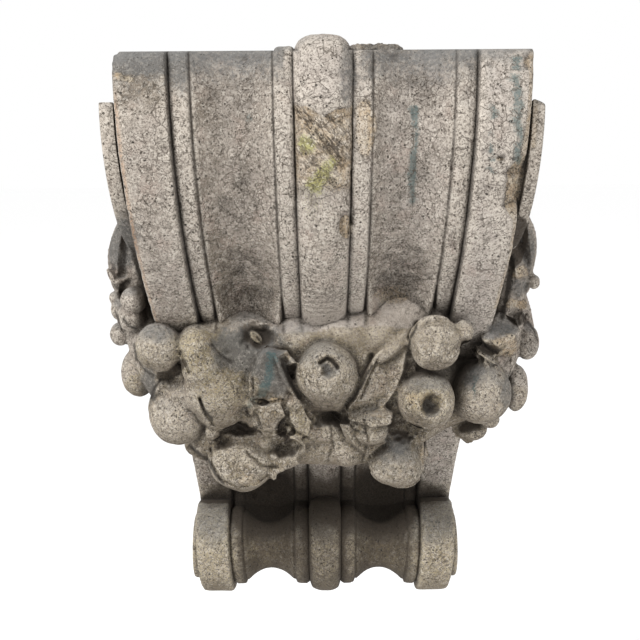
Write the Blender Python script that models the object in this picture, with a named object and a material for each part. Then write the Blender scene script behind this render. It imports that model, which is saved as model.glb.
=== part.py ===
"""Terracotta corbel, one cast block.

A scrolled bracket: a broad bowed face with a band down each side, two hollow channels
and a raised roll down the middle, a swag of fruit and leaves across its throat, and a
small scroll at the foot. X runs to the right, Z up, and the face looks along -Y.
The origin is the middle of the flat back, which is built into the wall.
"""

import math

import bmesh
import bpy
from mathutils import Vector

# Overall sizes, in metres
HEIGHT = 0.910
PROJECTION = 0.444
BED_WIDTH = 0.560
FOOT_WIDTH = 0.414

# Scroll at the foot
FOOT_SCROLL_RADIUS = 0.080
CREASE_ANGLE = math.radians(26.0)
FOOT_SCROLL_END = math.radians(215.0)
UNDERSIDE_RISE = 0.025
UNDERSIDE_SETBACK = 0.030
FOOT_BUTTON_RADIUS = 0.055
FOOT_BUTTON_RISE = 0.011

# Mouldings across the face: edges as shares of the half width, reliefs in metres
ROLL_EDGE_AT_BED = 0.144
ROLL_EDGE_AT_FOOT = 0.124
ROLL_RISE_AT_BED = 0.020
ROLL_RISE_AT_FOOT = 0.013
INNER_FILLET_EDGE = 0.232
CHANNEL_EDGE = 0.650
OUTER_FILLET_EDGE = 0.740
STEP_SHARE = 0.010
BAND_RISE = 0.012
FILLET_STEP = 0.004
CHANNEL_DEPTH = 0.023
EDGE_WEAR = 0.004

# End of the middle roll, which turns over the bed
KNUCKLE_RISE = 0.024
KNUCKLE_LENGTH = 0.150
KNUCKLE_SWELL = 1.03
KNUCKLE_SQUARENESS = 0.75

# Raised end of the fillet left of the roll
FILLET_END_RISE = 0.0065
FILLET_END_LENGTH = 0.068
FILLET_END_SETBACK = 0.002
FILLET_END_SQUARENESS = 0.45

# What has broken off the bed's left corner: across, inward and down
CORNER_CHIP = (0.022, 0.045, 0.009)

# Mortar left on the bed beside the roll
MORTAR_ACROSS = 0.066
MORTAR_OUT = 0.330
MORTAR_SIZE = (0.046, 0.040, 0.010)

# Scroll on each side
SIDE_SCROLL_RADIUS = 0.153
SIDE_SCROLL_SETBACK = 0.021
SIDE_SCROLL_DROP = 0.138
SIDE_SCROLL_RISE = 0.025
SIDE_SCROLL_TOP = 0.065
SIDE_RIB_WIDTH = 0.034
SIDE_RIB_TAPER = 0.55
SIDE_EYE_SHARE = 0.20
WORN_RIB_SHARE = 0.90
WORN_RIB_END_SHARE = 0.50

# How deep each piece of ornament is sunk in the block
EMBED = 0.012

# Swag: a middling fruit sets the scale of all of it, and of how far it hangs out beside the block
FRUIT = 0.045
SWAG_OVERHANG = 5.4 * FRUIT

# Fineness of the solids
ROLL_STEPS = 3
CHANNEL_STEPS = 5
BAND_STEPS = 2
FACE_ROWS_PER_SPAN = 2
SCROLL_ROWS = 9
WELD = 0.00002
SHARP_ANGLE = math.radians(40.0)

BED_Z = HEIGHT / 2
FOOT_Z = -HEIGHT / 2
SCROLL_Z = FOOT_Z + FOOT_SCROLL_RADIUS
CREASE_Z = SCROLL_Z + FOOT_SCROLL_RADIUS * math.cos(CREASE_ANGLE)
UNDERSIDE_Z = FOOT_Z + UNDERSIDE_RISE

# The face in side view, from the bed to the crease over the foot scroll:
# shares of that drop, and shares of the projection
FACE_CURVE = (
    (0.000, 0.912),
    (0.040, 0.942),
    (0.116, 0.986),
    (0.190, 1.000),
    (0.281, 0.983),
    (0.360, 0.945),
    (0.447, 0.862),
    (0.525, 0.775),
    (0.640, 0.638),
    (0.760, 0.515),
    (0.880, 0.410),
    (1.000, 0.338),
)
BED_EDGE_OUT = FACE_CURVE[0][1] * PROJECTION
CREASE_OUT = FACE_CURVE[-1][1] * PROJECTION
SCROLL_OUT = CREASE_OUT + FOOT_SCROLL_RADIUS * math.sin(CREASE_ANGLE)
SIDE_SCROLL_OUT = PROJECTION - SIDE_SCROLL_SETBACK - SIDE_SCROLL_RADIUS

# The side scroll's rib as it winds in: quarter turns, and shares of its outer radius
SIDE_SPIRAL = (
    (0, 1.00),
    (1, 1.00),
    (2, 0.76),
    (3, 0.46),
    (4, 0.40),
    (5, 0.28),
)

# What has broken off the outer edges: drop as a share of the height, loss across and loss inward
RIGHT_EDGE_LOSS = (
    (0.000, 0.004, 0.006),
    (0.060, 0.006, 0.010),
    (0.145, 0.009, 0.016),
    (0.172, 0.024, 0.030),
    (0.225, 0.022, 0.034),
    (0.245, 0.007, 0.016),
    (0.300, 0.004, 0.008),
    (0.410, 0.006, 0.008),
    (1.000, 0.003, 0.004),
)


def half_width(z):
    """Half the block's width at a height."""
    drop = (BED_Z - z) / HEIGHT
    return (BED_WIDTH + (FOOT_WIDTH - BED_WIDTH) * drop) / 2


def spline(points, per_span):
    """Points on a smooth curve through the given ones."""
    ends = [points[0]] + list(points) + [points[-1]]
    curve = []
    for k in range(1, len(ends) - 2):
        a, b, c, d = (Vector(p) for p in ends[k - 1:k + 3])
        for step in range(per_span):
            t = step / per_span
            curve.append(0.5 * (2 * b + (c - a) * t + (2 * a - 5 * b + 4 * c - d) * t ** 2
                                + (3 * b - a - 3 * c + d) * t ** 3))
    curve.append(Vector(points[-1]))
    return curve


def face_curve(per_span):
    """The bowed face from the bed to the crease, as (out, z)."""
    drop = BED_Z - CREASE_Z
    points = [(share * PROJECTION, BED_Z - down * drop) for down, share in FACE_CURVE]
    return spline(points, per_span)


def scroll_point(angle):
    """A point on the foot scroll, at an angle turned forward and down from its top."""
    return Vector((SCROLL_OUT + FOOT_SCROLL_RADIUS * math.sin(angle),
                   SCROLL_Z + FOOT_SCROLL_RADIUS * math.cos(angle)))


def face_out(z):
    """How far the face stands out from the wall at a height."""
    curve = face_curve(4)
    for upper, lower in zip(curve, curve[1:]):
        if lower.y <= z <= upper.y:
            share = (upper.y - z) / (upper.y - lower.y)
            return upper.x + (lower.x - upper.x) * share
    return CREASE_OUT


def between(table, at):
    """Values of a table of (place, value, value) at a place."""
    for first, second in zip(table, table[1:]):
        if first[0] <= at <= second[0]:
            share = (at - first[0]) / (second[0] - first[0])
            return [a + (b - a) * share for a, b in zip(first[1:], second[1:])]
    return table[-1][1:]


def moulding(z):
    """The section across the right half of the face: (share of half width, rise above the band)."""
    drop = (BED_Z - z) / HEIGHT
    roll_edge = ROLL_EDGE_AT_BED + (ROLL_EDGE_AT_FOOT - ROLL_EDGE_AT_BED) * drop
    roll_rise = ROLL_RISE_AT_BED + (ROLL_RISE_AT_FOOT - ROLL_RISE_AT_BED) * drop
    section = []
    for step in range(ROLL_STEPS + 1):
        angle = step / ROLL_STEPS * math.pi / 2
        section.append((roll_edge * math.sin(angle), roll_rise * math.cos(angle) - BAND_RISE))
    section.append((INNER_FILLET_EDGE, -BAND_RISE))
    for step in range(CHANNEL_STEPS + 1):
        share = step / CHANNEL_STEPS
        hollow = CHANNEL_DEPTH * (1 - (2 * share - 1) ** 2)
        across = INNER_FILLET_EDGE + STEP_SHARE
        across += (CHANNEL_EDGE - STEP_SHARE - across) * share
        section.append((across, -BAND_RISE - FILLET_STEP - hollow))
    section.append((CHANNEL_EDGE, -BAND_RISE))
    section.append((OUTER_FILLET_EDGE, -BAND_RISE))
    for step in range(BAND_STEPS):
        share = step / BAND_STEPS
        band_edge = OUTER_FILLET_EDGE + STEP_SHARE
        section.append((band_edge + (1 - band_edge) * share, 0.0))
    return section


def face_rows():
    """Rows down the face: (out, z, direction the relief rises in, share of the relief)."""
    curve = face_curve(FACE_ROWS_PER_SPAN)
    scroll = []
    for step in range(1, SCROLL_ROWS + 1):
        angle = -CREASE_ANGLE + (FOOT_SCROLL_END + CREASE_ANGLE) * step / SCROLL_ROWS
        scroll.append(scroll_point(angle))
    path = curve + scroll
    rows = []
    for k, point in enumerate(path):
        before = path[max(k - 1, 0)]
        after = path[min(k + 1, len(path) - 1)]
        run = (after - before).normalized()
        rise = Vector((-run.y, run.x))
        if k == 0:
            rise = Vector((1.0, 0.0))
        share = 0.5 if k == len(path) - 1 else 1.0
        rows.append((point, rise, share))
    underside = Vector((path[-1].x - UNDERSIDE_SETBACK, UNDERSIDE_Z))
    rows.append((underside, Vector((0.0, -1.0)), 0.0))
    return rows


def new_object(name, mesh_data):
    """An object in the scene from a bmesh."""
    bmesh.ops.recalc_face_normals(mesh_data, faces=mesh_data.faces)
    mesh = bpy.data.meshes.new(name)
    mesh_data.to_mesh(mesh)
    mesh_data.free()
    thing = bpy.data.objects.new(name, mesh)
    bpy.context.scene.collection.objects.link(thing)
    return thing


def chip_corner(bm):
    """Break the left corner off the bed's front edge, on a slope."""
    across, inward, down = CORNER_CHIP
    edge_end = Vector((across - half_width(BED_Z), -BED_EDGE_OUT, BED_Z))
    slope = Vector((-1 / across, -1 / inward, 1 / down))
    whole = bm.verts[:] + bm.edges[:] + bm.faces[:]
    cut = bmesh.ops.bisect_plane(bm, geom=whole, plane_co=edge_end, plane_no=slope, clear_outer=True)
    rim = [part for part in cut["geom_cut"] if isinstance(part, bmesh.types.BMEdge)]
    bmesh.ops.edgeloop_fill(bm, edges=rim)


def make_block():
    """The bracket without its ornament: face, flat sides, bed, underside and back."""
    bm = bmesh.new()
    grid = []
    for point, rise, share in face_rows():
        drop = (BED_Z - point.y) / HEIGHT
        half = half_width(point.y)
        section = moulding(point.y)
        across_loss, inward_loss = between(RIGHT_EDGE_LOSS, min(max(drop, 0.0), 1.0))
        left = [(-1.0, -EDGE_WEAR), (-1.0 + EDGE_WEAR / half, 0.0)]
        left += [(-across, height) for across, height in reversed(section[1:])]
        right = section + [(1.0 - across_loss / half, 0.0), (1.0, -inward_loss)]
        row = []
        for across, height in left + right:
            out = point.x + rise.x * height * share
            z = point.y + rise.y * height * share
            row.append(bm.verts.new((across * half_width(z), -out, z)))
        grid.append(row)
    for upper, lower in zip(grid, grid[1:]):
        for k in range(len(upper) - 1):
            bm.faces.new((upper[k], upper[k + 1], lower[k + 1], lower[k]))
    bed_half = half_width(BED_Z)
    under_half = half_width(UNDERSIDE_Z)
    bed_left = bm.verts.new((-bed_half, 0, BED_Z))
    bed_right = bm.verts.new((bed_half, 0, BED_Z))
    under_left = bm.verts.new((-under_half, 0, UNDERSIDE_Z))
    under_right = bm.verts.new((under_half, 0, UNDERSIDE_Z))
    bm.faces.new(grid[0] + [bed_right, bed_left])
    bm.faces.new(grid[-1] + [under_right, under_left])
    bm.faces.new([row[0] for row in grid] + [under_left, bed_left])
    bm.faces.new([row[-1] for row in grid] + [under_right, bed_right])
    bm.faces.new((bed_left, bed_right, under_right, under_left))
    chip_corner(bm)
    return new_object("corbel", bm)


def frame_for(axis):
    """Two directions square to an axis and to each other."""
    helper = Vector((0, 0, 1)) if abs(axis.z) < 0.9 else Vector((1, 0, 0))
    first = axis.cross(helper).normalized()
    return first, axis.cross(first).normalized()


def skin(bm, rings):
    """Faces between rings of points, where a ring of one point closes an end."""
    for ring, following in zip(rings, rings[1:]):
        for k in range(max(len(ring), len(following))):
            corners = [ring[k % len(ring)], ring[(k + 1) % len(ring)],
                       following[(k + 1) % len(following)], following[k % len(following)]]
            bm.faces.new(list(dict.fromkeys(corners)))


def add_turned(bm, centre, axis, profile, sides, stretch=1.0):
    """A closed round form: a profile of (along, radius) turned about an axis."""
    axis = Vector(axis).normalized()
    first, second = frame_for(axis)
    rings = []
    for along, radius in profile:
        count = 1 if radius == 0 else sides
        ring = []
        for k in range(count):
            turn = 2 * math.pi * k / sides
            offset = axis * along + (first * math.cos(turn) + second * math.sin(turn)) * radius
            offset.z *= stretch
            ring.append(bm.verts.new(centre + offset))
        rings.append(ring)
    skin(bm, rings)


def add_ball(bm, centre, radii, sides, rings, squareness=1.0):
    """A closed ball stretched to three radii, its poles front and back; below 1 it is squarer."""
    rows = []
    for ring in range(rings + 1):
        polar = math.pi * ring / rings
        count = 1 if ring in (0, rings) else sides
        row = []
        for k in range(count):
            turn = 2 * math.pi * k / sides
            unit = (math.sin(polar) * math.cos(turn), math.cos(polar), math.sin(polar) * math.sin(turn))
            full = [math.copysign(abs(value) ** squareness, value) for value in unit]
            row.append(bm.verts.new(centre + Vector([a * b for a, b in zip(full, radii)])))
        rows.append(row)
    skin(bm, rows)


def place(across, down, proud):
    """A point of the swag: share of the half width, share of the height, and fruits proud of the face.

    Past the block's edge, across counts in overhangs, so that what hangs there stays by the side.
    """
    z = BED_Z - down * HEIGHT
    reach = min(abs(across), 1) * half_width(z) + max(abs(across) - 1, 0) * SWAG_OVERHANG
    return Vector((math.copysign(reach, across), -face_out(z) - proud * FRUIT, z))


def add_fruit(bm, across, down, proud, size, tall, axis=(0, -1, 0.3), dent=0.0, sides=11, rings=6):
    """A fruit, with a dent at its eye where one shows."""
    radius = size * FRUIT
    profile = []
    angles = [math.pi * k / rings for k in range(rings + 1)]
    if dent:
        angles[1:1] = [math.radians(11), math.radians(17)]
    for angle in angles:
        sink = dent * FRUIT if angle < math.radians(12) else 0.0
        radial = 0.0 if angle in (0, math.pi) else radius * math.sin(angle)
        profile.append((radius * math.cos(angle) - sink, radial))
    add_turned(bm, place(across, down, proud), axis, profile, sides, tall / size)


def add_pear(bm, across, down, proud, size):
    """A pear hanging with its stalk up."""
    outline = ((-0.95, 0.0), (-0.86, 0.45), (-0.55, 0.85), (-0.1, 1.0), (0.35, 0.85), (0.75, 0.6),
               (1.15, 0.42), (1.5, 0.33), (1.62, 0.0))
    profile = [(along * size * FRUIT, radius * size * FRUIT) for along, radius in outline]
    add_turned(bm, place(across, down, proud), (0.12, 0.05, 1), profile, 12)


def add_lump(bm, across, down, proud, wide, deep, tall, sides=9, rings=5):
    """A soft rounded mass, with its radii counted in fruits."""
    radii = [size * FRUIT for size in (wide, deep, tall)]
    add_ball(bm, place(across, down, proud), radii, sides, rings)


def add_leaf(bm, base, tip, facing, width, thick=0.2, cup=0.0, arch=0.0, lobes=0, steps=6):
    """A leaf from base to tip: a thin blade with a raised spine, its edges lobed, cupped and arched."""
    start = place(*base)
    along = place(*tip) - start
    facing = Vector(facing)
    side = along.cross(facing).normalized()
    up = side.cross(along).normalized()
    across_steps = 4
    front = []
    back = []
    for i in range(steps + 1):
        t = i / steps
        swell = math.sin(math.pi * (0.06 + 0.88 * t) ** 0.85) ** 0.8
        swell *= 1 + 0.16 * math.cos(2 * math.pi * lobes * t) if lobes else 1
        front_row = []
        back_row = []
        for j in range(across_steps + 1):
            s = 2 * j / across_steps - 1
            lift = cup * s * s + arch * math.sin(math.pi * t) + 0.08 * (1 - abs(s))
            point = start + along * t + side * (s * swell * width * FRUIT) + up * (lift * FRUIT)
            front_row.append(bm.verts.new(point))
            back_row.append(bm.verts.new(point - up * (thick * FRUIT)))
        front.append(front_row)
        back.append(back_row)
    for i in range(steps):
        for j in range(across_steps):
            bm.faces.new((front[i][j], front[i][j + 1], front[i + 1][j + 1], front[i + 1][j]))
            bm.faces.new((back[i][j + 1], back[i][j], back[i + 1][j], back[i + 1][j + 1]))
        bm.faces.new((front[i][0], front[i + 1][0], back[i + 1][0], back[i][0]))
        bm.faces.new((front[i + 1][-1], front[i][-1], back[i][-1], back[i + 1][-1]))
    for j in range(across_steps):
        bm.faces.new((front[0][j + 1], front[0][j], back[0][j], back[0][j + 1]))
        bm.faces.new((front[-1][j], front[-1][j + 1], back[-1][j + 1], back[-1][j]))


def add_tube(bm, path, radii, sides):
    """A round bar along a path, with capped ends, that doesn't twist where the path turns."""
    rings = []
    first = frame_for((path[1] - path[0]).normalized())[0]
    for k, point in enumerate(path):
        run = (path[min(k + 1, len(path) - 1)] - path[max(k - 1, 0)]).normalized()
        first = (first - run * first.dot(run)).normalized()
        second = run.cross(first)
        ring = []
        for step in range(sides):
            turn = 2 * math.pi * step / sides
            offset = (first * math.cos(turn) + second * math.sin(turn)) * radii[k]
            ring.append(bm.verts.new(point + offset))
        rings.append(ring)
    skin(bm, rings)
    bm.faces.new(rings[0])
    bm.faces.new(rings[-1])


def make_knuckle():
    """The end of the middle roll, which turns over the bed, with a fillet's end and mortar beside it."""
    bm = bmesh.new()
    front = BED_EDGE_OUT + ROLL_RISE_AT_BED - BAND_RISE
    half_length = KNUCKLE_LENGTH / 2
    wide = KNUCKLE_SWELL * ROLL_EDGE_AT_BED * BED_WIDTH / 2
    centre = Vector((0, half_length - front, BED_Z - EMBED))
    add_ball(bm, centre, (wide, half_length, KNUCKLE_RISE + EMBED), 14, 8, KNUCKLE_SQUARENESS)
    fillet_middle = (INNER_FILLET_EDGE + ROLL_EDGE_AT_BED) / 2 * half_width(BED_Z)
    fillet_half = (INNER_FILLET_EDGE - ROLL_EDGE_AT_BED) / 2 * half_width(BED_Z)
    end_half = FILLET_END_LENGTH / 2
    end_centre = Vector((-fillet_middle, end_half - BED_EDGE_OUT + BAND_RISE + FILLET_END_SETBACK, BED_Z - EMBED))
    end_radii = (fillet_half, end_half, FILLET_END_RISE + EMBED)
    add_ball(bm, end_centre, end_radii, 8, 3, FILLET_END_SQUARENESS)
    add_ball(bm, Vector((MORTAR_ACROSS, -MORTAR_OUT, BED_Z)), MORTAR_SIZE, 10, 6)
    return new_object("knuckle", bm)


def side_point(side, out, z, rise):
    """A point on a side face, standing off it by a rise."""
    return Vector((side * (half_width(z) + rise), -out, z))


def make_side_scroll(side):
    """A raised spiral with an eye on a side face; the right one's outer end has worn round."""
    bm = bmesh.new()
    centre_z = BED_Z - SIDE_SCROLL_DROP
    start = math.asin((SIDE_SCROLL_DROP - SIDE_SCROLL_TOP) / SIDE_SCROLL_RADIUS)
    turns = [(start, SIDE_SCROLL_RADIUS)]
    turns += [(-quarter * math.pi / 2, share * SIDE_SCROLL_RADIUS) for quarter, share in SIDE_SPIRAL]
    worn = side > 0
    rings = []
    for k, (angle, radius) in enumerate(spline(turns, 4)):
        width = SIDE_RIB_WIDTH * (1 - SIDE_RIB_TAPER * (1 - radius / SIDE_SCROLL_RADIUS))
        rise = SIDE_SCROLL_RISE * (WORN_RIB_SHARE if worn else 1)
        if worn and k == 0:
            rise *= WORN_RIB_END_SHARE
        inner = radius - width
        ring = []
        for reach, lift in ((radius, -EMBED), (radius, rise), (inner, 0.85 * rise), (inner, -EMBED)):
            z = centre_z + reach * math.sin(angle)
            ring.append(bm.verts.new(side_point(side, SIDE_SCROLL_OUT + reach * math.cos(angle), z, lift)))
        rings.append(ring)
    skin(bm, rings)
    bm.faces.new(rings[0])
    bm.faces.new(rings[-1])
    eye = SIDE_EYE_SHARE * SIDE_SCROLL_RADIUS
    outline = ((-EMBED, 0), (-EMBED, eye), (0.6 * SIDE_SCROLL_RISE, eye),
               (0.9 * SIDE_SCROLL_RISE, 0.6 * eye), (SIDE_SCROLL_RISE, 0))
    add_turned(bm, side_point(side, SIDE_SCROLL_OUT, centre_z, 0), (side, 0, 0), outline, 12)
    return new_object("side scroll", bm)


def make_foot_button(side):
    """The low round boss on the side of the foot scroll, with a ring sunk in it."""
    bm = bmesh.new()
    radius = FOOT_BUTTON_RADIUS
    rise = FOOT_BUTTON_RISE
    outline = ((-EMBED, 0), (-EMBED, radius), (0.8 * rise, radius), (rise, 0.9 * radius),
               (rise, 0.55 * radius), (0.5 * rise, 0.45 * radius), (0.5 * rise, 0.3 * radius),
               (rise, 0.2 * radius), (rise, 0))
    add_turned(bm, side_point(side, SCROLL_OUT, SCROLL_Z, 0), (side, 0, 0), outline, 18)
    return new_object("foot button", bm)


# The swag's inner mass: across, down, proud, radius in fruits
SWAG_SPINE = (
    (-1.10, 0.262, -4.0, 0.35),
    (-1.12, 0.330, -3.3, 0.55),
    (-1.12, 0.400, -2.6, 0.70),
    (-1.06, 0.490, -1.0, 1.05),
    (-0.86, 0.555, 0.50, 1.20),
    (-0.50, 0.545, 0.70, 1.20),
    (-0.15, 0.530, 0.70, 1.20),
    (0.20, 0.530, 0.70, 1.20),
    (0.52, 0.540, 0.60, 1.10),
    (0.84, 0.550, 0.20, 1.00),
    (1.06, 0.515, -0.8, 1.05),
    (1.14, 0.420, -2.2, 0.70),
    (1.12, 0.335, -3.3, 0.52),
    (1.10, 0.262, -4.0, 0.32),
)
SWAG_UNDERSIDE = (
    (-0.84, 0.600, 0.80, 0.75),
    (-0.60, 0.640, 1.55, 0.95),
    (-0.30, 0.645, 1.60, 0.95),
    (0.05, 0.650, 1.55, 0.95),
    (0.32, 0.650, 1.55, 0.90),
    (0.56, 0.625, 1.40, 0.80),
    (0.80, 0.590, 0.80, 0.80),
    (1.02, 0.590, 0.30, 0.70),
)


def add_swag_body(bm):
    """The mass that the fruit and leaves stand on."""
    for spine, sides in ((SWAG_SPINE, 9), (SWAG_UNDERSIDE, 8)):
        centres = [place(across, down, proud) for across, down, proud, radius in spine]
        sizes = [(radius * FRUIT, 0, 0) for across, down, proud, radius in spine]
        path = spline(centres, 2)
        radii = [size.x for size in spline(sizes, 2)]
        add_tube(bm, path, radii, sides)


def add_ledge(bm):
    """The smooth cloth between the face and the fruit, and the worn lumps left of the middle."""
    add_lump(bm, -0.492, 0.480, -0.70, 1.78, 1.55, 1.10, 11, 5)
    add_lump(bm, -0.026, 0.487, -0.75, 1.65, 1.50, 1.17, 11, 5)
    add_lump(bm, 0.476, 0.432, -1.05, 2.09, 1.35, 1.28, 11, 5)
    add_lump(bm, 0.423, 0.465, -0.75, 1.91, 1.55, 1.43, 11, 5)
    add_lump(bm, 0.306, 0.520, -0.10, 1.59, 1.45, 1.72, 11, 5)
    add_lump(bm, -0.766, 0.452, 0.55, 0.68, 0.95, 0.62)
    add_lump(bm, -0.732, 0.478, 0.75, 0.82, 1.00, 0.89)
    add_lump(bm, -0.655, 0.524, 1.10, 1.17, 1.30, 1.27, 11, 6)
    add_lump(bm, -0.658, 0.571, 1.65, 0.81, 0.90, 0.84)
    add_lump(bm, -0.492, 0.540, 1.25, 0.90, 0.95, 1.01)
    add_lump(bm, -0.363, 0.578, 1.55, 0.75, 0.85, 0.81)


def add_fruits(bm):
    """The fruit, each where it hangs in the swag."""
    add_fruit(bm, 0.018, 0.501, 1.65, 1.07, 1.09, (0.05, -1, 0.22), dent=0.28, sides=14, rings=8)
    add_fruit(bm, -0.561, 0.678, 2.40, 1.20, 1.02, (-0.1, -1, 0.3), sides=13, rings=7)
    add_fruit(bm, -0.950, 0.593, 1.35, 1.05, 1.13, (-0.4, -1, 0.1), sides=13, rings=7)
    add_fruit(bm, -0.993, 0.463, 0.50, 0.80, 0.85, (-0.3, -1, 0.2), sides=11, rings=6)
    add_fruit(bm, -1.205, 0.534, -0.29, 0.65, 0.91, (-1, -0.5, 0.2), sides=11, rings=6)
    add_fruit(bm, 0.652, 0.454, 0.94, 0.84, 0.90, (0.1, -1, 0.2), sides=11, rings=6)
    add_fruit(bm, 0.631, 0.552, 2.02, 0.97, 0.99, (0.12, -1, 0.16), dent=0.32, sides=14, rings=8)
    add_fruit(bm, 0.994, 0.553, 1.20, 1.05, 1.15, (0.3, -1, 0.2), sides=13, rings=7)
    add_fruit(bm, 1.270, 0.571, 0.00, 0.45, 0.88, (1, -0.4, 0.1), sides=9, rings=5)
    add_fruit(bm, 1.307, 0.489, -1.18, 0.45, 0.66, (1, -0.4, 0.1), sides=9, rings=5)
    add_pear(bm, 0.481, 0.680, 2.50, 0.97)
    add_fruit(bm, -0.724, 0.612, 2.08, 0.33, 0.34, sides=8, rings=5)
    add_fruit(bm, 0.808, 0.434, 0.40, 0.35, 0.43, sides=8, rings=5)
    add_fruit(bm, -1.147, 0.398, -1.55, 0.47, 0.49, (-0.4, -1, 0.2), sides=9, rings=5)
    add_fruit(bm, -1.259, 0.422, -1.75, 0.38, 0.41, sides=8, rings=5)
    add_fruit(bm, -1.186, 0.429, -1.25, 0.51, 0.51, (-0.4, -1, 0.2), sides=9, rings=5)
    add_fruit(bm, -1.303, 0.469, -1.45, 0.38, 0.45, sides=8, rings=5)
    add_fruit(bm, -1.288, 0.411, -2.15, 0.28, 0.27, sides=8, rings=5)
    add_fruit(bm, 1.300, 0.382, -2.60, 0.26, 0.28, sides=8, rings=5)
    add_fruit(bm, 1.004, 0.635, 1.26, 0.56, 0.52, sides=9, rings=5)
    add_fruit(bm, 1.060, 0.612, 1.35, 0.40, 0.36, sides=8, rings=5)


def add_leaves(bm):
    """Leaves and torn cloth between the fruit."""
    # Left drape and right leaf, which hang beside the face
    add_leaf(bm, (-1.17, 0.262, -3.6), (-1.25, 0.370, -2.9), (-0.9, -0.8, 0.5), 0.66, 0.6, arch=0.3)
    add_leaf(bm, (1.15, 0.258, -3.6), (1.27, 0.380, -2.9), (0.9, -0.7, 0.4), 0.55, 0.5, arch=0.3)
    # The two folds that cradle the middle fruit
    add_leaf(bm, (-0.50, 0.440, 0.3), (-0.02, 0.612, 2.35), (0.35, -1, 0.30), 0.95, 0.7, cup=0.15)
    add_leaf(bm, (0.56, 0.425, 0.2), (0.05, 0.605, 2.35), (-0.2, -1, 0.35), 1.20, 0.8, cup=0.12)
    add_leaf(bm, (0.50, 0.480, 0.8), (0.30, 0.600, 2.2), (0.1, -1, 0.3), 0.80, 0.7)
    # Lobes below it
    add_lump(bm, 0.149, 0.650, 2.00, 0.66, 0.75, 0.90)
    add_lump(bm, 0.009, 0.617, 1.70, 0.83, 0.75, 0.62)
    add_lump(bm, -0.129, 0.616, 1.85, 0.58, 0.75, 0.58)
    add_lump(bm, -0.226, 0.655, 2.15, 0.52, 0.60, 0.45)
    add_lump(bm, 0.299, 0.611, 2.25, 0.64, 0.65, 0.61)
    # Torn leaves to the left
    add_leaf(bm, (-0.32, 0.465, 1.0), (-0.46, 0.565, 2.3), (-0.1, -1, 0.5), 0.66, 0.5)
    add_leaf(bm, (-0.34, 0.545, 1.9), (-0.34, 0.630, 2.6), (-0.1, -1, 0.3), 0.60, 0.5)
    add_leaf(bm, (-0.30, 0.620, 2.3), (-0.50, 0.685, 3.1), (0.2, -1, 0.2), 0.50, 0.4)
    add_leaf(bm, (-0.72, 0.675, 2.6), (-0.32, 0.690, 2.6), (0.1, -0.6, -1), 0.70, 0.4)
    add_leaf(bm, (-0.92, 0.620, 1.5), (-0.74, 0.690, 1.9), (-0.2, -1, 0.3), 0.48, 0.5)
    # Turned leaf and lip to the right
    add_leaf(bm, (0.16, 0.598, 2.1), (0.42, 0.604, 2.5), (0.1, -1, -0.4), 0.60, 0.5, lobes=2)
    add_leaf(bm, (0.66, 0.620, 1.5), (0.67, 0.710, 1.9), (1, -0.6, 0), 0.35, 0.3)
    add_leaf(bm, (0.84, 0.465, 0.5), (1.08, 0.490, 0.8), (0, -0.8, 0.8), 0.45, 0.35)


def add_broken_stems(bm):
    """Stubs where fruit has snapped away, and the broken block at the right."""
    stubs = ((1.15, 0.360, -2.7, 0.24, 0.7), (1.13, 0.412, -1.75, 0.40, 0.9))
    for across, down, proud, size, length in stubs:
        radius = size * FRUIT
        reach = length * FRUIT / 2
        outline = ((-reach, 0), (-reach, radius * 1.1), (reach, radius), (reach, 0))
        add_turned(bm, place(across, down, proud), (0.35, -0.7, 0.65), outline, 9)
    centre = place(1.03, 0.452, -0.1)
    corners = []
    for x, y, z in ((-0.75, -0.60, -0.70), (0.55, -0.85, -0.85), (0.80, 0.85, -0.62), (-0.72, 0.85, -0.62),
                    (-0.62, -0.75, 0.45), (0.35, -0.55, 0.62), (0.62, 0.80, 0.75), (-0.58, 0.85, 0.72)):
        corners.append(bm.verts.new(centre + Vector((x, y, z)) * FRUIT))
    for face in ((0, 1, 5, 4), (1, 2, 6, 5), (2, 3, 7, 6), (3, 0, 4, 7), (4, 5, 6, 7), (3, 2, 1, 0)):
        bm.faces.new([corners[k] for k in face])


def make_swag():
    """The whole swag of fruit and leaves as closed forms that overlap."""
    bm = bmesh.new()
    add_swag_body(bm)
    add_ledge(bm)
    add_fruits(bm)
    add_leaves(bm)
    add_broken_stems(bm)
    return new_object("swag", bm)


def terracotta():
    """Weathered buff terracotta."""
    material = bpy.data.materials.new("terracotta")
    material.use_nodes = True
    shader = material.node_tree.nodes["Principled BSDF"]
    shader.inputs["Base Color"].default_value = (0.36, 0.31, 0.26, 1)
    shader.inputs["Roughness"].default_value = 0.9
    shader.inputs["Metallic"].default_value = 0.0
    return material


def merge_into(block, pieces):
    """Join every piece to the block as one closed body."""
    bm = bmesh.new()
    for piece in pieces:
        bm.from_mesh(piece.data)
        bpy.data.objects.remove(piece)
    ornament = new_object("ornament", bm)
    union = block.modifiers.new("join", "BOOLEAN")
    union.operation = "UNION"
    union.solver = "EXACT"
    union.use_self = True
    union.object = ornament
    graph = bpy.context.evaluated_depsgraph_get()
    joined = bpy.data.meshes.new_from_object(block.evaluated_get(graph))
    block.modifiers.clear()
    block.data = joined
    bpy.data.objects.remove(ornament)


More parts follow.
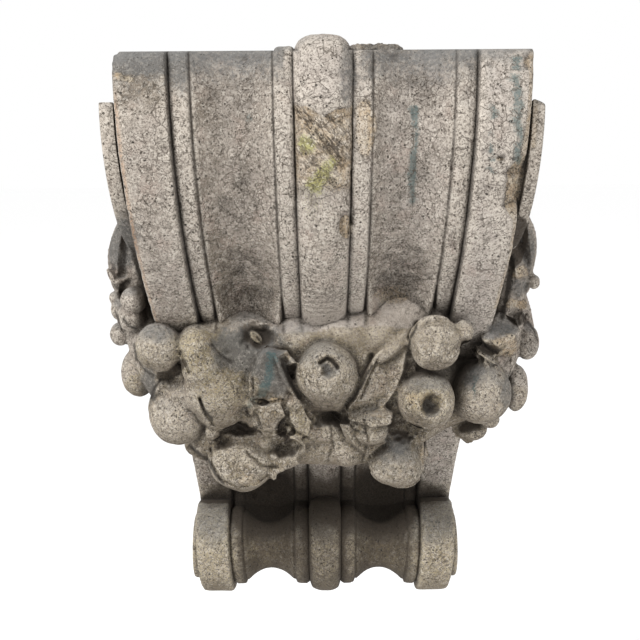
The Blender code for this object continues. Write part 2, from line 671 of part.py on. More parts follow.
def keep_outer_skin(block):
    """Remove the walls of any pocket that the joined forms closed in."""
    bm = bmesh.new()
    bm.from_mesh(block.data)
    bmesh.ops.remove_doubles(bm, verts=bm.verts, dist=WELD)
    bmesh.ops.triangulate(bm, faces=bm.faces)
    bmesh.ops.dissolve_degenerate(bm, edges=bm.edges, dist=WELD)
    bmesh.ops.triangulate(bm, faces=bm.faces)
    waiting = set(bm.verts)
    shells = []
    while waiting:
        shell = set()
        front = [next(iter(waiting))]
        while front:
            vert = front.pop()
            if vert in shell:
                continue
            shell.add(vert)
            front.extend(edge.other_vert(vert) for edge in vert.link_edges)
        waiting -= shell
        shells.append(shell)
    shells.sort(key=len)
    for shell in shells[:-1]:
        faces = {face for vert in shell for face in vert.link_faces}
        volume = sum(face.verts[0].co.dot(face.verts[1].co.cross(face.verts[2].co)) for face in faces)
        if volume < 0:
            bmesh.ops.delete(bm, geom=list(shell), context="VERTS")
    bm.to_mesh(block.data)
    bm.free()


def main():
    """Build the corbel."""
    for thing in list(bpy.data.objects):
        bpy.data.objects.remove(thing)
    block = make_block()
    pieces = [make_knuckle(), make_swag()]
    for side in (-1, 1):
        pieces.append(make_side_scroll(side))
        pieces.append(make_foot_button(side))
    merge_into(block, pieces)
    keep_outer_skin(block)
    block.data.materials.clear()
    block.data.materials.append(terracotta())
    block.data.shade_smooth()
    block.data.set_sharp_from_angle(angle=SHARP_ANGLE)


main()
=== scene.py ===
"""Looks of the terracotta corbel: its worn block, the carved swag, its weathering, and the studio."""
import math

import bmesh
import bpy
import numpy as np
from mathutils import Matrix, Vector
from mathutils.bvhtree import BVHTree


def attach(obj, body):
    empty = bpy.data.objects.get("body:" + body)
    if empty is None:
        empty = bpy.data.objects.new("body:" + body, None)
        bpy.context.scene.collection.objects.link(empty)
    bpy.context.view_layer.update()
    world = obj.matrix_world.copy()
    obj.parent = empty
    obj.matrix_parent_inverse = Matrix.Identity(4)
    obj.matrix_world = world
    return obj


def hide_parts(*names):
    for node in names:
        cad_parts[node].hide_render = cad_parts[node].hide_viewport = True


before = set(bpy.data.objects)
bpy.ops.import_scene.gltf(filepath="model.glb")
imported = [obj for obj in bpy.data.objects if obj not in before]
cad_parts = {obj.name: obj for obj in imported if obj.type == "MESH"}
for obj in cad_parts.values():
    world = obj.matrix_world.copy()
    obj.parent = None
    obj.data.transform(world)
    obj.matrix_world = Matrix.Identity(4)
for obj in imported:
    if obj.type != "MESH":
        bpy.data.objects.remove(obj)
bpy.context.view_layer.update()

# Overall sizes, in metres, as in the solids
HEIGHT = 0.910
PROJECTION = 0.444
BED_WIDTH = 0.560
FOOT_WIDTH = 0.414
BED_Z = HEIGHT / 2
FOOT_Z = -HEIGHT / 2
FOOT_SCROLL_RADIUS = 0.080
CREASE_ANGLE = math.radians(26.0)
FOOT_SCROLL_END = math.radians(215.0)
UNDERSIDE_SETBACK = 0.030
SCROLL_Z = FOOT_Z + FOOT_SCROLL_RADIUS
CREASE_Z = SCROLL_Z + FOOT_SCROLL_RADIUS * math.cos(CREASE_ANGLE)
UNDERSIDE_Z = FOOT_Z + 0.025
FOOT_BUTTON_RADIUS = 0.055
FOOT_BUTTON_RISE = 0.011
# Its outline: shares of the rise and of the radius
FOOT_BUTTON_OUTLINE = (
    (0.7, 1), (0.95, 0.97), (1, 0.9), (1, 0.58), (0.8, 0.52), (0.5, 0.46), (0.45, 0.38), (0.55, 0.30),
    (0.9, 0.22), (1, 0.12), (1, 0),
)

# Mouldings: edges as shares of the half width, reliefs in metres
ROLL_EDGE_AT_BED = 0.144
ROLL_EDGE_AT_FOOT = 0.124
ROLL_RISE_AT_BED = 0.020
ROLL_RISE_AT_FOOT = 0.013
INNER_FILLET_EDGE = 0.232
CHANNEL_EDGE = 0.650
OUTER_FILLET_EDGE = 0.740
STEP_SHARE = 0.010
INNER_STEP_EDGE = INNER_FILLET_EDGE + STEP_SHARE
OUTER_STEP_EDGE = CHANNEL_EDGE - STEP_SHARE
BAND_EDGE = OUTER_FILLET_EDGE + STEP_SHARE
BAND_RISE = 0.012
FILLET_STEP = 0.004
CHANNEL_DEPTH = 0.023
EDGE_WEAR = 0.0035
BED_LIP = (0.066, 0.052, 0.040, 0.030, 0.022, 0.016, 0.010, 0.005)
CORNER_CHIP = (0.058, 0.022, 0.0095)
FILLET_END_ACROSS = -0.0520
FILLET_END_SIZE = (0.0145, 0.034, 0.0065)
KNUCKLE_RISE = 0.024
KNUCKLE_LENGTH = 0.150
KNUCKLE_SWELL = 1.03
KNUCKLE_SQUARENESS = 0.75
MORTAR_ACROSS = 0.066
MORTAR_OUT = 0.330
MORTAR_SIZE = (0.046, 0.033, 0.0095)

# Scroll on each side
SIDE_SCROLL_RADIUS = 0.153
SIDE_SCROLL_DROP = 0.138
SIDE_SCROLL_RISE = 0.025
SIDE_SCROLL_TOP = 0.065
SIDE_RIB_WIDTH = 0.034
SIDE_SCROLL_OUT = PROJECTION - 0.021 - SIDE_SCROLL_RADIUS
SIDE_SPIRAL = ((0, 1.00), (1, 1.00), (2, 0.76), (3, 0.46), (4, 0.40), (5, 0.28))
SIDE_GROOVE_WIDTH = 0.0042
SIDE_GROOVE_DEPTH = 0.006
EMBED = 0.012

# Fineness of the visible skin
FRUIT = 0.045
SWAG_OVERHANG = 5.4 * FRUIT
ROW_SPACING = 0.0032
VOXEL = 0.0024
SOFT_VOXEL = 0.0036
TRIANGLE_LIMIT = 172000
FLAT_CELL = 0.032
CRISP_ANGLE = math.radians(52.0)

# How openness to the air is felt for
SKY_RAYS = 40
SKY_REACH = 0.16
SKY_LIFT = 0.0015
SKY_SLANT = 0.15

# The studio: how far its floor lies below the foot, the floor's colour, and lamps by place, size and power
FLOOR_DROP = 0.9
FLOOR_SIZE = 24
PAPER_WHITE = (0.985, 0.985, 0.985, 1)
LAMPS = (("key", (-1.6, -2.0, 2.4), 1.2, 104), ("fill", (1.9, -1.9, 0.9), 2.0, 12))
LAMP_AIM = (0, -0.3, 0)

# Colours of the clay, of what lies on it, and of painted shade and light
CLAY_PALE = (0.385, 0.340, 0.300)
CLAY_BUFF = (0.265, 0.228, 0.192)
CLAY_BROWN = (0.155, 0.126, 0.096)
CLAY_PINK = (0.31, 0.235, 0.195)
PALE_EDGE_AND_HIGHLIGHT = (0.46, 0.41, 0.35)
BROKEN_OCHRE = (0.40, 0.29, 0.17)
BROKEN_PALE = (0.56, 0.47, 0.34)
ALGAE_GOLD = (0.28, 0.225, 0.11)
LICHEN_GREEN = (0.27, 0.27, 0.055)
WARM_EDGE = (0.33, 0.20, 0.115)
OLD_PAINT = (0.040, 0.082, 0.084)
SOOT_GREY = (0.120, 0.121, 0.120)
SLATE_GRIME_AND_SHADE = (0.074, 0.073, 0.071)
SHADE_AND_DAMP_BROWN = (0.036, 0.027, 0.019)
UNDERSIDE_SHADE_BROWN = (0.105, 0.082, 0.058)
DIRT_AND_SHADE_BLACK = (0.022, 0.018, 0.014)
SPECK_DARK = (0.055, 0.045, 0.034)
SPECK_LIGHT = (0.60, 0.55, 0.48)
PIT_BLACK = (0.018, 0.015, 0.012)
CRACK_BROWN = (0.05, 0.038, 0.028)

FACE_CURVE = (
    (0.000, 0.912), (0.040, 0.942), (0.116, 0.986), (0.190, 1.000), (0.281, 0.983), (0.360, 0.945),
    (0.447, 0.862), (0.525, 0.775), (0.640, 0.638), (0.760, 0.515), (0.880, 0.410), (1.000, 0.338),
)
BED_EDGE_OUT = FACE_CURVE[0][1] * PROJECTION
SCROLL_OUT = FACE_CURVE[-1][1] * PROJECTION + FOOT_SCROLL_RADIUS * math.sin(CREASE_ANGLE)

# What has broken off the right edge: drop as a share of the height, loss across and loss inward
RIGHT_EDGE_LOSS = (
    (0.000, 0.004, 0.006), (0.060, 0.006, 0.010), (0.145, 0.009, 0.016), (0.172, 0.024, 0.030),
    (0.225, 0.022, 0.034), (0.245, 0.007, 0.016), (0.300, 0.004, 0.008), (0.410, 0.006, 0.008),
    (1.000, 0.003, 0.004),
)

# The camera of the photograph
CAMERA_PLACE = Vector((-0.0060, -1.765, BED_Z))
CAMERA_TURN = Matrix.Rotation(math.radians(90 - 15.1), 3, "X") @ Matrix.Rotation(math.radians(-0.4), 3, "Z")
LENS = 56.25
SENSOR = 36.0
PICTURE = 640


def put(name, data):
    """A new object in the scene."""
    thing = bpy.data.objects.new(name, data)
    bpy.context.scene.collection.objects.link(thing)
    return thing


def camera():
    """The camera at the photograph's place and angle."""
    data = bpy.data.cameras.new("camera")
    data.lens = LENS
    data.sensor_width = SENSOR
    eye = put("camera", data)
    eye.matrix_world = Matrix.Translation(CAMERA_PLACE) @ CAMERA_TURN.to_4x4()
    bpy.context.scene.camera = eye


def seen(points):
    """Where points of the corbel stand in the photograph, across and down, in its pixels."""
    local = (points - np.array(CAMERA_PLACE)) @ np.array(CAMERA_TURN)
    focal = LENS / SENSOR * PICTURE
    across = PICTURE / 2 + focal * local[:, 0] / -local[:, 2]
    down = PICTURE / 2 - focal * local[:, 1] / -local[:, 2]
    return across, down


def noise(points, size, seed):
    """Smooth noise from 0 to 1 at each point, with lumps of a size."""
    cell = points / size
    base = np.floor(cell).astype(np.int64)
    part = cell - base
    part = part * part * (3 - 2 * part)
    total = np.zeros(len(points))
    for corner in range(8):
        step = np.array([corner >> axis & 1 for axis in range(3)])
        x, y, z = (base + step).T
        mixed = x * 73856093 ^ y * 19349663 ^ z * 83492791 ^ seed * 40503
        mixed = (mixed ^ mixed >> 13) * 1274126177
        value = ((mixed ^ mixed >> 16) & 65535) / 65535
        total += value * np.prod(np.where(step, part, 1 - part), axis=1)
    return total


def rough(points, size, seed, octaves=3):
    """Noise of several sizes together, from about -1 to 1."""
    total = np.zeros(len(points))
    for k in range(octaves):
        total += (2 * noise(points, size / 2 ** k, seed + 7 * k) - 1) / 2 ** k
    return total / 1.4


def ramp(value, low, high):
    """0 below low and 1 above high, smooth between."""
    share = np.clip((value - low) / (high - low), 0, 1)
    return share * share * (3 - 2 * share)


def spot(u, v, centre_u, centre_v, radius_u, radius_v, edge=0.35):
    """A soft round mark in the photograph's frame: 1 inside, 0 outside."""
    distance = np.hypot((u - centre_u) / radius_u, (v - centre_v) / radius_v)
    return 1 - ramp(distance, 1 - edge, 1 + edge)


def stroke(u, v, path, width):
    """A mark along a path in the photograph's frame: 1 on the path, 0 a width away."""
    nearest = np.full(len(u), 1e9)
    for (u0, v0), (u1, v1) in zip(path, path[1:]):
        length = (u1 - u0) ** 2 + (v1 - v0) ** 2
        share = np.clip(((u - u0) * (u1 - u0) + (v - v0) * (v1 - v0)) / length, 0, 1)
        nearest = np.minimum(nearest, np.hypot(u - u0 - share * (u1 - u0), v - v0 - share * (v1 - v0)))
    return np.clip(1 - nearest / width, 0, 1)


def lens_mark(u, v):
    """The pointed oval in the hollow left of the middle: 1 on it, 0 outside."""
    along = 0.72 * (u - 256.5) + 0.69 * (v - 337.5)
    over = 0.72 * (v - 337.5) - 0.69 * (u - 256.5)
    return 1 - ramp(np.hypot(along / 8.5, over / 4.6), 0.75, 1.15)


def half_width(z):
    """Half the block's width at a height."""
    return (BED_WIDTH + (FOOT_WIDTH - BED_WIDTH) * (BED_Z - z) / HEIGHT) / 2


def spline(points, per_span):
    """Points on a smooth curve through the given ones."""
    ends = [points[0]] + list(points) + [points[-1]]
    curve = []
    for k in range(1, len(ends) - 2):
        a, b, c, d = (Vector(p) for p in ends[k - 1:k + 3])
        for step in range(per_span):
            t = step / per_span
            curve.append(0.5 * (2 * b + (c - a) * t + (2 * a - 5 * b + 4 * c - d) * t ** 2
                                + (3 * b - a - 3 * c + d) * t ** 3))
    curve.append(Vector(points[-1]))
    return curve


def face_curve():
    """The bowed face in side view from the bed to the crease, as (out, z)."""
    drop = BED_Z - CREASE_Z
    return spline([(share * PROJECTION, BED_Z - down * drop) for down, share in FACE_CURVE], 12)


FACE = np.array([tuple(point) for point in face_curve()])


def face_out(z):
    """How far the face stands out from the wall at a height."""
    return np.interp(-np.asarray(z), -FACE[:, 1], FACE[:, 0])


def evenly(path, spacing):
    """The same path with its points evenly spaced."""
    steps = np.linalg.norm(np.diff(path, axis=0), axis=1)
    along = np.concatenate([[0], np.cumsum(steps)])
    at = np.linspace(0, along[-1], int(round(along[-1] / spacing)) + 1)
    return np.column_stack([np.interp(at, along, path[:, k]) for k in range(path.shape[1])])


def place(across, down, proud):
    """A point of the swag: share of the half width, share of the height, fruits proud of the face."""
    z = BED_Z - down * HEIGHT
    reach = min(abs(across), 1) * half_width(z) + max(abs(across) - 1, 0) * SWAG_OVERHANG
    return Vector((math.copysign(reach, across), -float(face_out(z)) - proud * FRUIT, z))


def choose(*pieces):
    """Select only these pieces, the first of them active."""
    bpy.ops.object.select_all(action="DESELECT")
    for piece in pieces:
        piece.select_set(True)
    bpy.context.view_layer.objects.active = pieces[0]


def get_points(piece):
    """The piece's points as an array."""
    flat = np.empty(len(piece.data.vertices) * 3)
    piece.data.vertices.foreach_get("co", flat)
    return flat.reshape(-1, 3)


def set_points(piece, points):
    """Move the piece's points."""
    piece.data.vertices.foreach_set("co", points.ravel())
    piece.data.update()


def get_normals(piece):
    """The piece's normals at its points."""
    flat = np.empty(len(piece.data.vertices) * 3)
    piece.data.vertices.foreach_get("normal", flat)
    return flat.reshape(-1, 3)


def make_piece(name, points, faces):
    """A new piece from points and faces."""
    mesh = bpy.data.meshes.new(name)
    mesh.from_pydata([tuple(point) for point in points], [], faces)
    mesh.update()
    return put(name, mesh)


def finish_piece(name, bm):
    """A new piece from faces built one by one, turned outward."""
    bmesh.ops.recalc_face_normals(bm, faces=bm.faces)
    mesh = bpy.data.meshes.new(name)
    bm.to_mesh(mesh)
    bm.free()
    return put(name, mesh)


def face_outward(piece):
    """Turn every face outward."""
    choose(piece)
    bpy.ops.object.mode_set(mode="EDIT")
    bpy.ops.mesh.select_all(action="SELECT")
    bpy.ops.mesh.normals_make_consistent(inside=False)
    bpy.ops.object.mode_set(mode="OBJECT")


def join(pieces):
    """Join pieces into the first of them."""
    choose(*pieces)
    bpy.ops.object.join()
    return pieces[0]


def melt(pieces, voxel, factor, rounds):
    """Overlapping pieces as one closed skin, eased by some rounds of smoothing."""
    whole = join(pieces)
    skin = whole.modifiers.new("skin", "REMESH")
    skin.mode = "VOXEL"
    skin.voxel_size = voxel
    choose(whole)
    bpy.ops.object.modifier_apply(modifier="skin")
    easing = whole.modifiers.new("easing", "SMOOTH")
    easing.factor = factor
    easing.iterations = rounds
    bpy.ops.object.modifier_apply(modifier="easing")
    return whole


def ring_faces(rows, count):
    """Faces of a closed sleeve of rows of points, each of a count."""
    faces = []
    for row in range(rows - 1):
        for k in range(count):
            after = (k + 1) % count
            here, above = row * count, (row + 1) * count
            faces.append((here + k, here + after, above + after, above + k))
    return faces


# The block

# Chips and holes in the photograph's pixels: centre, radii, and depth in metres
CHIPS = (
    (501, 158, 3.6, 3.2, 0.0055), (531, 60, 9, 9, 0.0050), (118, 76, 8, 4, 0.0022), (128, 78, 6, 3, 0.0016),
    (110, 60, 7, 8, 0.0045), (466, 92, 6, 8, 0.0016), (286, 80, 7, 6, 0.0016), (374, 62, 4, 12, 0.0030),
    (488, 151, 6, 3, 0.0020), (456, 169, 5, 3, 0.0030), (452, 243, 4, 10, 0.0028), (165, 150, 4, 5, 0.0022),
)
# Cracks that can be seen from a step away: path, half width and depth
CRACKS = (
    (((484, 187), (493, 188), (500, 190), (508, 188)), 2.2, 0.0016),
    (((150, 228), (158, 227), (166, 229), (176, 228)), 2.2, 0.0014),
    (((270, 122), (279, 121), (291, 123)), 1.8, 0.0010), (((272, 196), (282, 194), (290, 196)), 1.8, 0.0010),
    (((145, 274), (154, 271), (163, 272)), 2.4, 0.0014),
)


def roll_edge_at(drop):
    """Where the middle roll ends, as a share of the half width."""
    return ROLL_EDGE_AT_BED + (ROLL_EDGE_AT_FOOT - ROLL_EDGE_AT_BED) * drop


def right_edge_loss(drop):
    """What has broken off the right edge across and inward, in metres."""
    drops, across, inward = np.array(RIGHT_EDGE_LOSS).T
    return np.interp(drop, drops, across), np.interp(drop, drops, inward)


def moulding(drop):
    """The section across the right half of the face for an array of drops: shares and rises."""
    drop = drop[:, None]
    roll_edge = roll_edge_at(drop)
    roll_rise = ROLL_RISE_AT_BED + (ROLL_RISE_AT_FOOT - ROLL_RISE_AT_BED) * drop
    one = np.ones_like(drop)
    turn = np.linspace(0, math.pi / 2, 13)[None, :]
    shares = [roll_edge * np.sin(turn)]
    rises = [roll_rise * np.cos(turn) - BAND_RISE]

    def stretch(start, end, steps, rise):
        """Add points from one edge to the next, closer together at both ends."""
        t = (1 - np.cos(np.linspace(0, math.pi, steps + 1)))[None, 1:] / 2
        shares.append((start + (end - start) * t) * one)
        rises.append(rise(t) * one)

    low = -BAND_RISE - FILLET_STEP
    stretch(roll_edge, INNER_FILLET_EDGE, 6, lambda t: -BAND_RISE + 0 * t)
    stretch(INNER_FILLET_EDGE, INNER_STEP_EDGE, 2, lambda t: -BAND_RISE - FILLET_STEP * t)
    stretch(INNER_STEP_EDGE, OUTER_STEP_EDGE, 28, lambda t: low - CHANNEL_DEPTH * (1 - (2 * t - 1) ** 2))
    stretch(OUTER_STEP_EDGE, CHANNEL_EDGE, 2, lambda t: low + FILLET_STEP * t)
    stretch(CHANNEL_EDGE, OUTER_FILLET_EDGE, 6, lambda t: -BAND_RISE + 0 * t)
    stretch(OUTER_FILLET_EDGE, BAND_EDGE, 2, lambda t: -BAND_RISE * (1 - t))
    stretch(BAND_EDGE, 1.0, 18, lambda t: 0 * t)
    return np.hstack(shares), np.hstack(rises)


def nicks(points, distance, reach, depth, seed):
    """What small knocks have taken from an edge, less with distance from it."""
    knock = np.clip(2.6 * noise(points, 0.024, seed) - 1.45, 0, 1)
    knock += 0.45 * np.clip(2.4 * noise(points, 0.009, seed + 1) - 1.2, 0, 1)
    return depth * (0.25 + knock) * np.clip(1 - distance / reach, 0, 1)


def nose_edge(u):
    """How far down the sound end of the roll reaches in the photograph, before the break."""
    return 104 + 9 * np.exp(-((u - 324) / 13) ** 2)


def from_break(u, v):
    """Distance in pixels below the slanting break across the roll."""
    return (v - 110 - 1.12 * (u - 298)) / 1.50


def block_wear(points, across, drop, half):
    """How much of the face has worn or broken away at each point, in metres; below 0 it is built up."""
    side = np.abs(across)
    u, v = seen(points)
    on_roll = 1 - ramp(side, 0.138, 0.150)
    loss = 0.0006 * (1 + rough(points, 0.016, 11)) + 0.0014 * (1 + rough(points, 0.070, 12))

    # Quirks cut at the foot of each step
    for edge, depth in ((roll_edge_at(drop), 0.0035), (INNER_STEP_EDGE, 0.0022),
                        (OUTER_STEP_EDGE, 0.0022), (OUTER_FILLET_EDGE, 0.0035)):
        loss += depth * np.exp(-((side - edge) * half / 0.0022) ** 2) * (0.5 + noise(points, 0.05, 15))

    # Knocks along the edges that stand up
    for edge, seed in ((INNER_FILLET_EDGE, 21), (CHANNEL_EDGE, 23), (BAND_EDGE, 25)):
        loss += nicks(points, np.abs(side - edge) * half, 0.0055, 0.0032, seed)
    outer = (1 - side) * half
    loss += nicks(points, outer, 0.0075, 0.0050, 27) + EDGE_WEAR * np.clip(1 - outer / EDGE_WEAR, 0, 1) ** 2

    # The broken front of the roll, under a slanting lip
    torn = ramp(v - nose_edge(u) + 3 * rough(points, 0.012, 31), -2, 3) * (1 - ramp(v, 176, 226)) * on_roll
    past = from_break(u, v) + 2.0 * rough(points, 0.012, 30)
    loss += torn * (0.0030 + 0.0035 * ramp(past, -3, 4) + 0.0030 * rough(points, 0.022, 32))
    loss += torn * 0.0026 * rough(points, 0.008, 33)
    streaks = rough(np.column_stack([0.0004 * (u + v), 0.0016 * past, 0 * u]), 0.006, 36)
    groove = np.exp(-(past / 6) ** 2) * ramp(u, 287, 297) * (1 - ramp(u, 340, 350))
    loss += on_roll * groove * (0.0052 + 0.0034 * streaks)
    loss += on_roll * 0.0040 * stroke(u, v, ((327, 115), (333, 120), (341, 122)), 4.0)
    loss += 0.0075 * spot(u, v, 346, 227, 8, 14) * ramp(noise(points, 0.010, 34), 0.2, 0.5)
    loss += 0.0030 * spot(u, v, 305, 212, 14, 26) * np.clip(rough(points, 0.012, 35) + 0.3, 0, 1)

    # Rubbish built up on the fillet right of it, out into the channel
    crust = spot(u, v, 365, 128, 12, 36, 0.4)
    loss -= crust * ramp(across, 0.225, 0.240) * (0.0045 + 0.0020 * rough(points, 0.010, 41))
    loss += crust * 0.0020 * np.clip(rough(points, 0.008, 42), 0, 1)

    # The right edge, broken back to a slope
    lost_across, lost_inward = right_edge_loss(drop)
    ragged = lost_across * (1 + 0.30 * rough(points * (0, 1, 1), 0.030, 51))
    ragged += 0.0016 * rough(points, 0.008, 52)
    inside = (1 - across) * half
    broken = np.clip(1 - inside / np.maximum(ragged, 0.001), 0, 1)
    slope = lost_inward * (0.30 * (broken > 0) + 0.70 * broken)
    slope += 0.0020 * rough(points, 0.010, 53) * (broken > 0)
    loss = np.where(across > 0.5, np.maximum(loss, slope), loss)

    # Chips, the hole and the cracks that can be seen from a step away
    for *where, depth in CHIPS:
        loss += depth * spot(u, v, *where, 0.5) * (0.7 + 0.6 * noise(points, 0.006, 61))
    for path, width, depth in CRACKS:
        loss += depth * stroke(u, v, path, width)

    # The cloth's upper edge, laid smoothly over the foot of each channel
    in_channel = ramp(side, 0.235, 0.27) * (1 - ramp(side, 0.61, 0.645))
    laid = ramp(v, 276, 308) * (across > 0) + ramp(v, 290, 318) * (across < 0)
    loss -= laid * (1 - ramp(v, 380, 430)) * in_channel * (0.020 + 0.0015 * rough(points, 0.02, 70))

    # Rough patches low in the channels, where the swag's shadow keeps them damp
    damp = spot(u, v, 245, 285, 42, 26, 0.6) + spot(u, v, 405, 282, 42, 30, 0.6)
    loss += damp * 0.0016 * np.clip(rough(points, 0.009, 71) + 0.2, 0, 1)
    return loss


def wear_bed_edge(points, across, lip_rows, columns):
    """Round the front edge of the bed, most at its left corner and over the channels."""
    side = np.abs(across)
    in_channel = ramp(side, 0.24, 0.30) * (1 - ramp(side, 0.60, 0.66))
    radius = 0.0022 + 0.0045 * in_channel + 0.0060 * (1 - ramp(across, -1.0, -0.93))
    radius += 0.0035 * ramp(across, 0.96, 1.0)
    radius = radius * (1 + 0.5 * rough(points, 0.022, 55)) + 0.0012 * rough(points, 0.008, 56)
    edge = np.tile(points[lip_rows * columns:(lip_rows + 1) * columns], (len(points) // columns, 1))
    set_back = points[:, 1] - edge[:, 1]
    back = np.clip(1 - set_back / 0.016, 0, 1)
    below = np.clip(1 - (BED_Z - points[:, 2]) / 0.016, 0, 1)
    worn = points.copy()
    on_bed = np.arange(len(points)) < (lip_rows + 1) * columns
    worn[:, 2] -= np.where(on_bed, radius * back ** 2, radius * below ** 2)
    worn[:, 1] += np.where(on_bed, 0.6 * radius * back ** 2, 0.6 * radius * below ** 2)
    chip_back, chip_across, chip_deep = CORNER_CHIP
    chip = np.clip(1 - set_back / chip_back - (1 + across) * half_width(BED_Z) / chip_across, 0, 1)
    chip *= 1 + 0.9 * rough(points, 0.014, 57)
    worn[:, 2] -= np.where(on_bed, chip_deep * chip, 0.6 * chip_deep * chip * below)
    worn[:columns] = points[:columns]
    return worn


def make_block():
    """The bracket without its ornament, with its face worn and broken as it stands today."""
    scroll_angles = np.linspace(-CREASE_ANGLE, FOOT_SCROLL_END, 160)
    scroll = np.column_stack([SCROLL_OUT + FOOT_SCROLL_RADIUS * np.sin(scroll_angles),
                              SCROLL_Z + FOOT_SCROLL_RADIUS * np.cos(scroll_angles)])
    lip = [(BED_EDGE_OUT - back, BED_Z) for back in BED_LIP]
    path = np.vstack([lip, evenly(FACE, ROW_SPACING), evenly(scroll, ROW_SPACING)[1:]])
    run = np.gradient(path, axis=0)
    run /= np.linalg.norm(run, axis=1)[:, None]
    rise = np.column_stack([-run[:, 1], run[:, 0]])
    rise[:len(lip) + 1] = (1, 0)
    share = np.ones(len(path))
    share[-1] = 0.5
    path = np.vstack([path, [path[-1][0] - UNDERSIDE_SETBACK, UNDERSIDE_Z]])
    rise = np.vstack([rise, [0, -1]])
    share = np.append(share, 0)
    drop = (BED_Z - path[:, 1]) / HEIGHT
    shares, rises = moulding(drop)
    across = np.hstack([-shares[:, :0:-1], shares])
    height = np.hstack([rises[:, :0:-1], rises])
    rows, columns = across.shape
    flat_across = across.ravel()
    flat_drop = np.repeat(drop, columns)

    def lay(heights):
        """The points of the face with given rises over the band."""
        out = path[:, 0][:, None] + rise[:, 0][:, None] * heights * share[:, None]
        z = path[:, 1][:, None] + rise[:, 1][:, None] * heights * share[:, None]
        return np.column_stack([(across * half_width(z)).ravel(), -out.ravel(), z.ravel()])

    smooth = lay(height)
    half = half_width(smooth[:, 2])
    loss = block_wear(smooth, flat_across, flat_drop, half).reshape(rows, columns)
    loss[:len(lip)] = loss[len(lip)]
    points = lay(height - loss)
    points = wear_bed_edge(points, flat_across, len(lip), columns)
    faces = []
    for row in range(rows - 1):
        for k in range(columns - 1):
            at = row * columns + k
            faces.append((at, at + 1, at + columns + 1, at + columns))
    corners = [(side * half_width(z), 0, z) for z in (BED_Z, UNDERSIDE_Z) for side in (-1, 1)]
    bed_left, bed_right, under_left, under_right = range(rows * columns, rows * columns + 4)
    first = [row * columns for row in range(rows)]
    last = [row * columns + columns - 1 for row in range(rows)]
    faces.append(list(range(columns)) + [bed_right, bed_left])
    faces.append([rows * columns - columns + k for k in range(columns)] + [under_right, under_left])
    faces.append(first + [under_left, bed_left])
    faces.append(last + [under_right, bed_right])
    faces.append((bed_left, bed_right, under_right, under_left))
    block = make_piece("corbel_body", np.vstack([points, corners]), faces)
    face_outward(block)
    return block


# Round and leafy forms


def turned(name, centre, axis, profile, sides):
    """A closed round form: a profile of (along, radius), its ends on the axis, turned about it."""
    axis = Vector(axis).normalized()
    helper = Vector((0, 0, 1)) if abs(axis.z) < 0.9 else Vector((1, 0, 0))
    first = axis.cross(helper).normalized()
    second = axis.cross(first).normalized()
    bm = bmesh.new()
    rings = []
    for along, radius in profile:
        ring = []
        for k in range(1 if radius == 0 else sides):
            turn = 2 * math.pi * k / sides
            offset = axis * along + (first * math.cos(turn) + second * math.sin(turn)) * radius
            ring.append(bm.verts.new(Vector(centre) + offset))
        rings.append(ring)
    for ring, following in zip(rings, rings[1:]):
        for k in range(sides):
            corners = [ring[k % len(ring)], ring[(k + 1) % len(ring)],
                       following[(k + 1) % len(following)], following[k % len(following)]]
            bm.faces.new(list(dict.fromkeys(corners)))
    return finish_piece(name, bm)


def ball(name, centre, radii, squareness, segments, rings):
    """A ball stretched to three radii; a squareness below 1 fills it out towards a box."""
    bpy.ops.object.select_all(action="DESELECT")
    bpy.ops.mesh.primitive_uv_sphere_add(segments=segments, ring_count=rings, radius=1)
    piece = bpy.context.object
    piece.name = name
    points = get_points(piece)
    points = np.copysign(np.abs(points) ** squareness, points)
    set_points(piece, points * np.array(radii) + np.array(centre))
    return piece


def point_at(u, v, proud):
    """The point at (u, v) in the photograph that stands some fruits proud of the face."""
    focal = LENS / SENSOR * PICTURE
    ray = CAMERA_TURN @ Vector(((u - PICTURE / 2) / focal, (PICTURE / 2 - v) / focal, -1))
    point = Vector((0, 0, 0))
    for step in range(40):
        out = float(face_out(point.z)) + proud * FRUIT
        point = CAMERA_PLACE + ray * ((-out - CAMERA_PLACE.y) / ray.y)
    return point


def pixel_at(point):
    """The length at a point that covers one pixel of the photograph."""
    away = (point - CAMERA_PLACE).dot(CAMERA_TURN @ Vector((0, 0, -1)))
    return away * SENSOR / LENS / PICTURE


def fruit(u, v, proud, wide, tall, facing=(0, -1, 0.3), dent=0.0, lumpy=0.04, cuts=()):
    """A worn fruit, with a dent at its eye where one shows, and flat cuts where it is knocked."""
    centre = point_at(u, v, proud)
    radius = wide * pixel_at(centre)
    facing = Vector(facing).normalized()
    bpy.ops.object.select_all(action="DESELECT")
    bpy.ops.mesh.primitive_uv_sphere_add(segments=40, ring_count=28, radius=radius)
    piece = bpy.context.object
    points = get_points(piece)
    if dent:
        polar = np.arccos(np.clip(points[:, 2] / radius, -1, 1))
        bowl = 1 - ramp(polar, math.radians(13), math.radians(23))
        lip = np.exp(-((polar - math.radians(30)) / math.radians(9)) ** 2)
        points[:, 2] -= dent * FRUIT * bowl
        points *= (1 + 0.03 * lip)[:, None]
    turn = np.array(facing.to_track_quat("Z", "Y").to_matrix())
    points = points @ turn.T
    seed = int(10 * u + 3000 * v)
    outward = points / np.linalg.norm(points, axis=1)[:, None]
    swell = lumpy * rough(points + np.array(centre), radius * 0.9, seed, 2)
    points += outward * (radius * swell)[:, None]
    for direction, reach in cuts:
        direction = np.array(Vector(direction).normalized())
        over = points @ direction - reach * radius
        over += 0.04 * radius * rough(points, 0.010, seed + 3)
        points -= direction * (0.85 * np.maximum(over, 0))[:, None]
    points[:, 2] *= tall / wide
    set_points(piece, points + np.array(centre))
    return piece


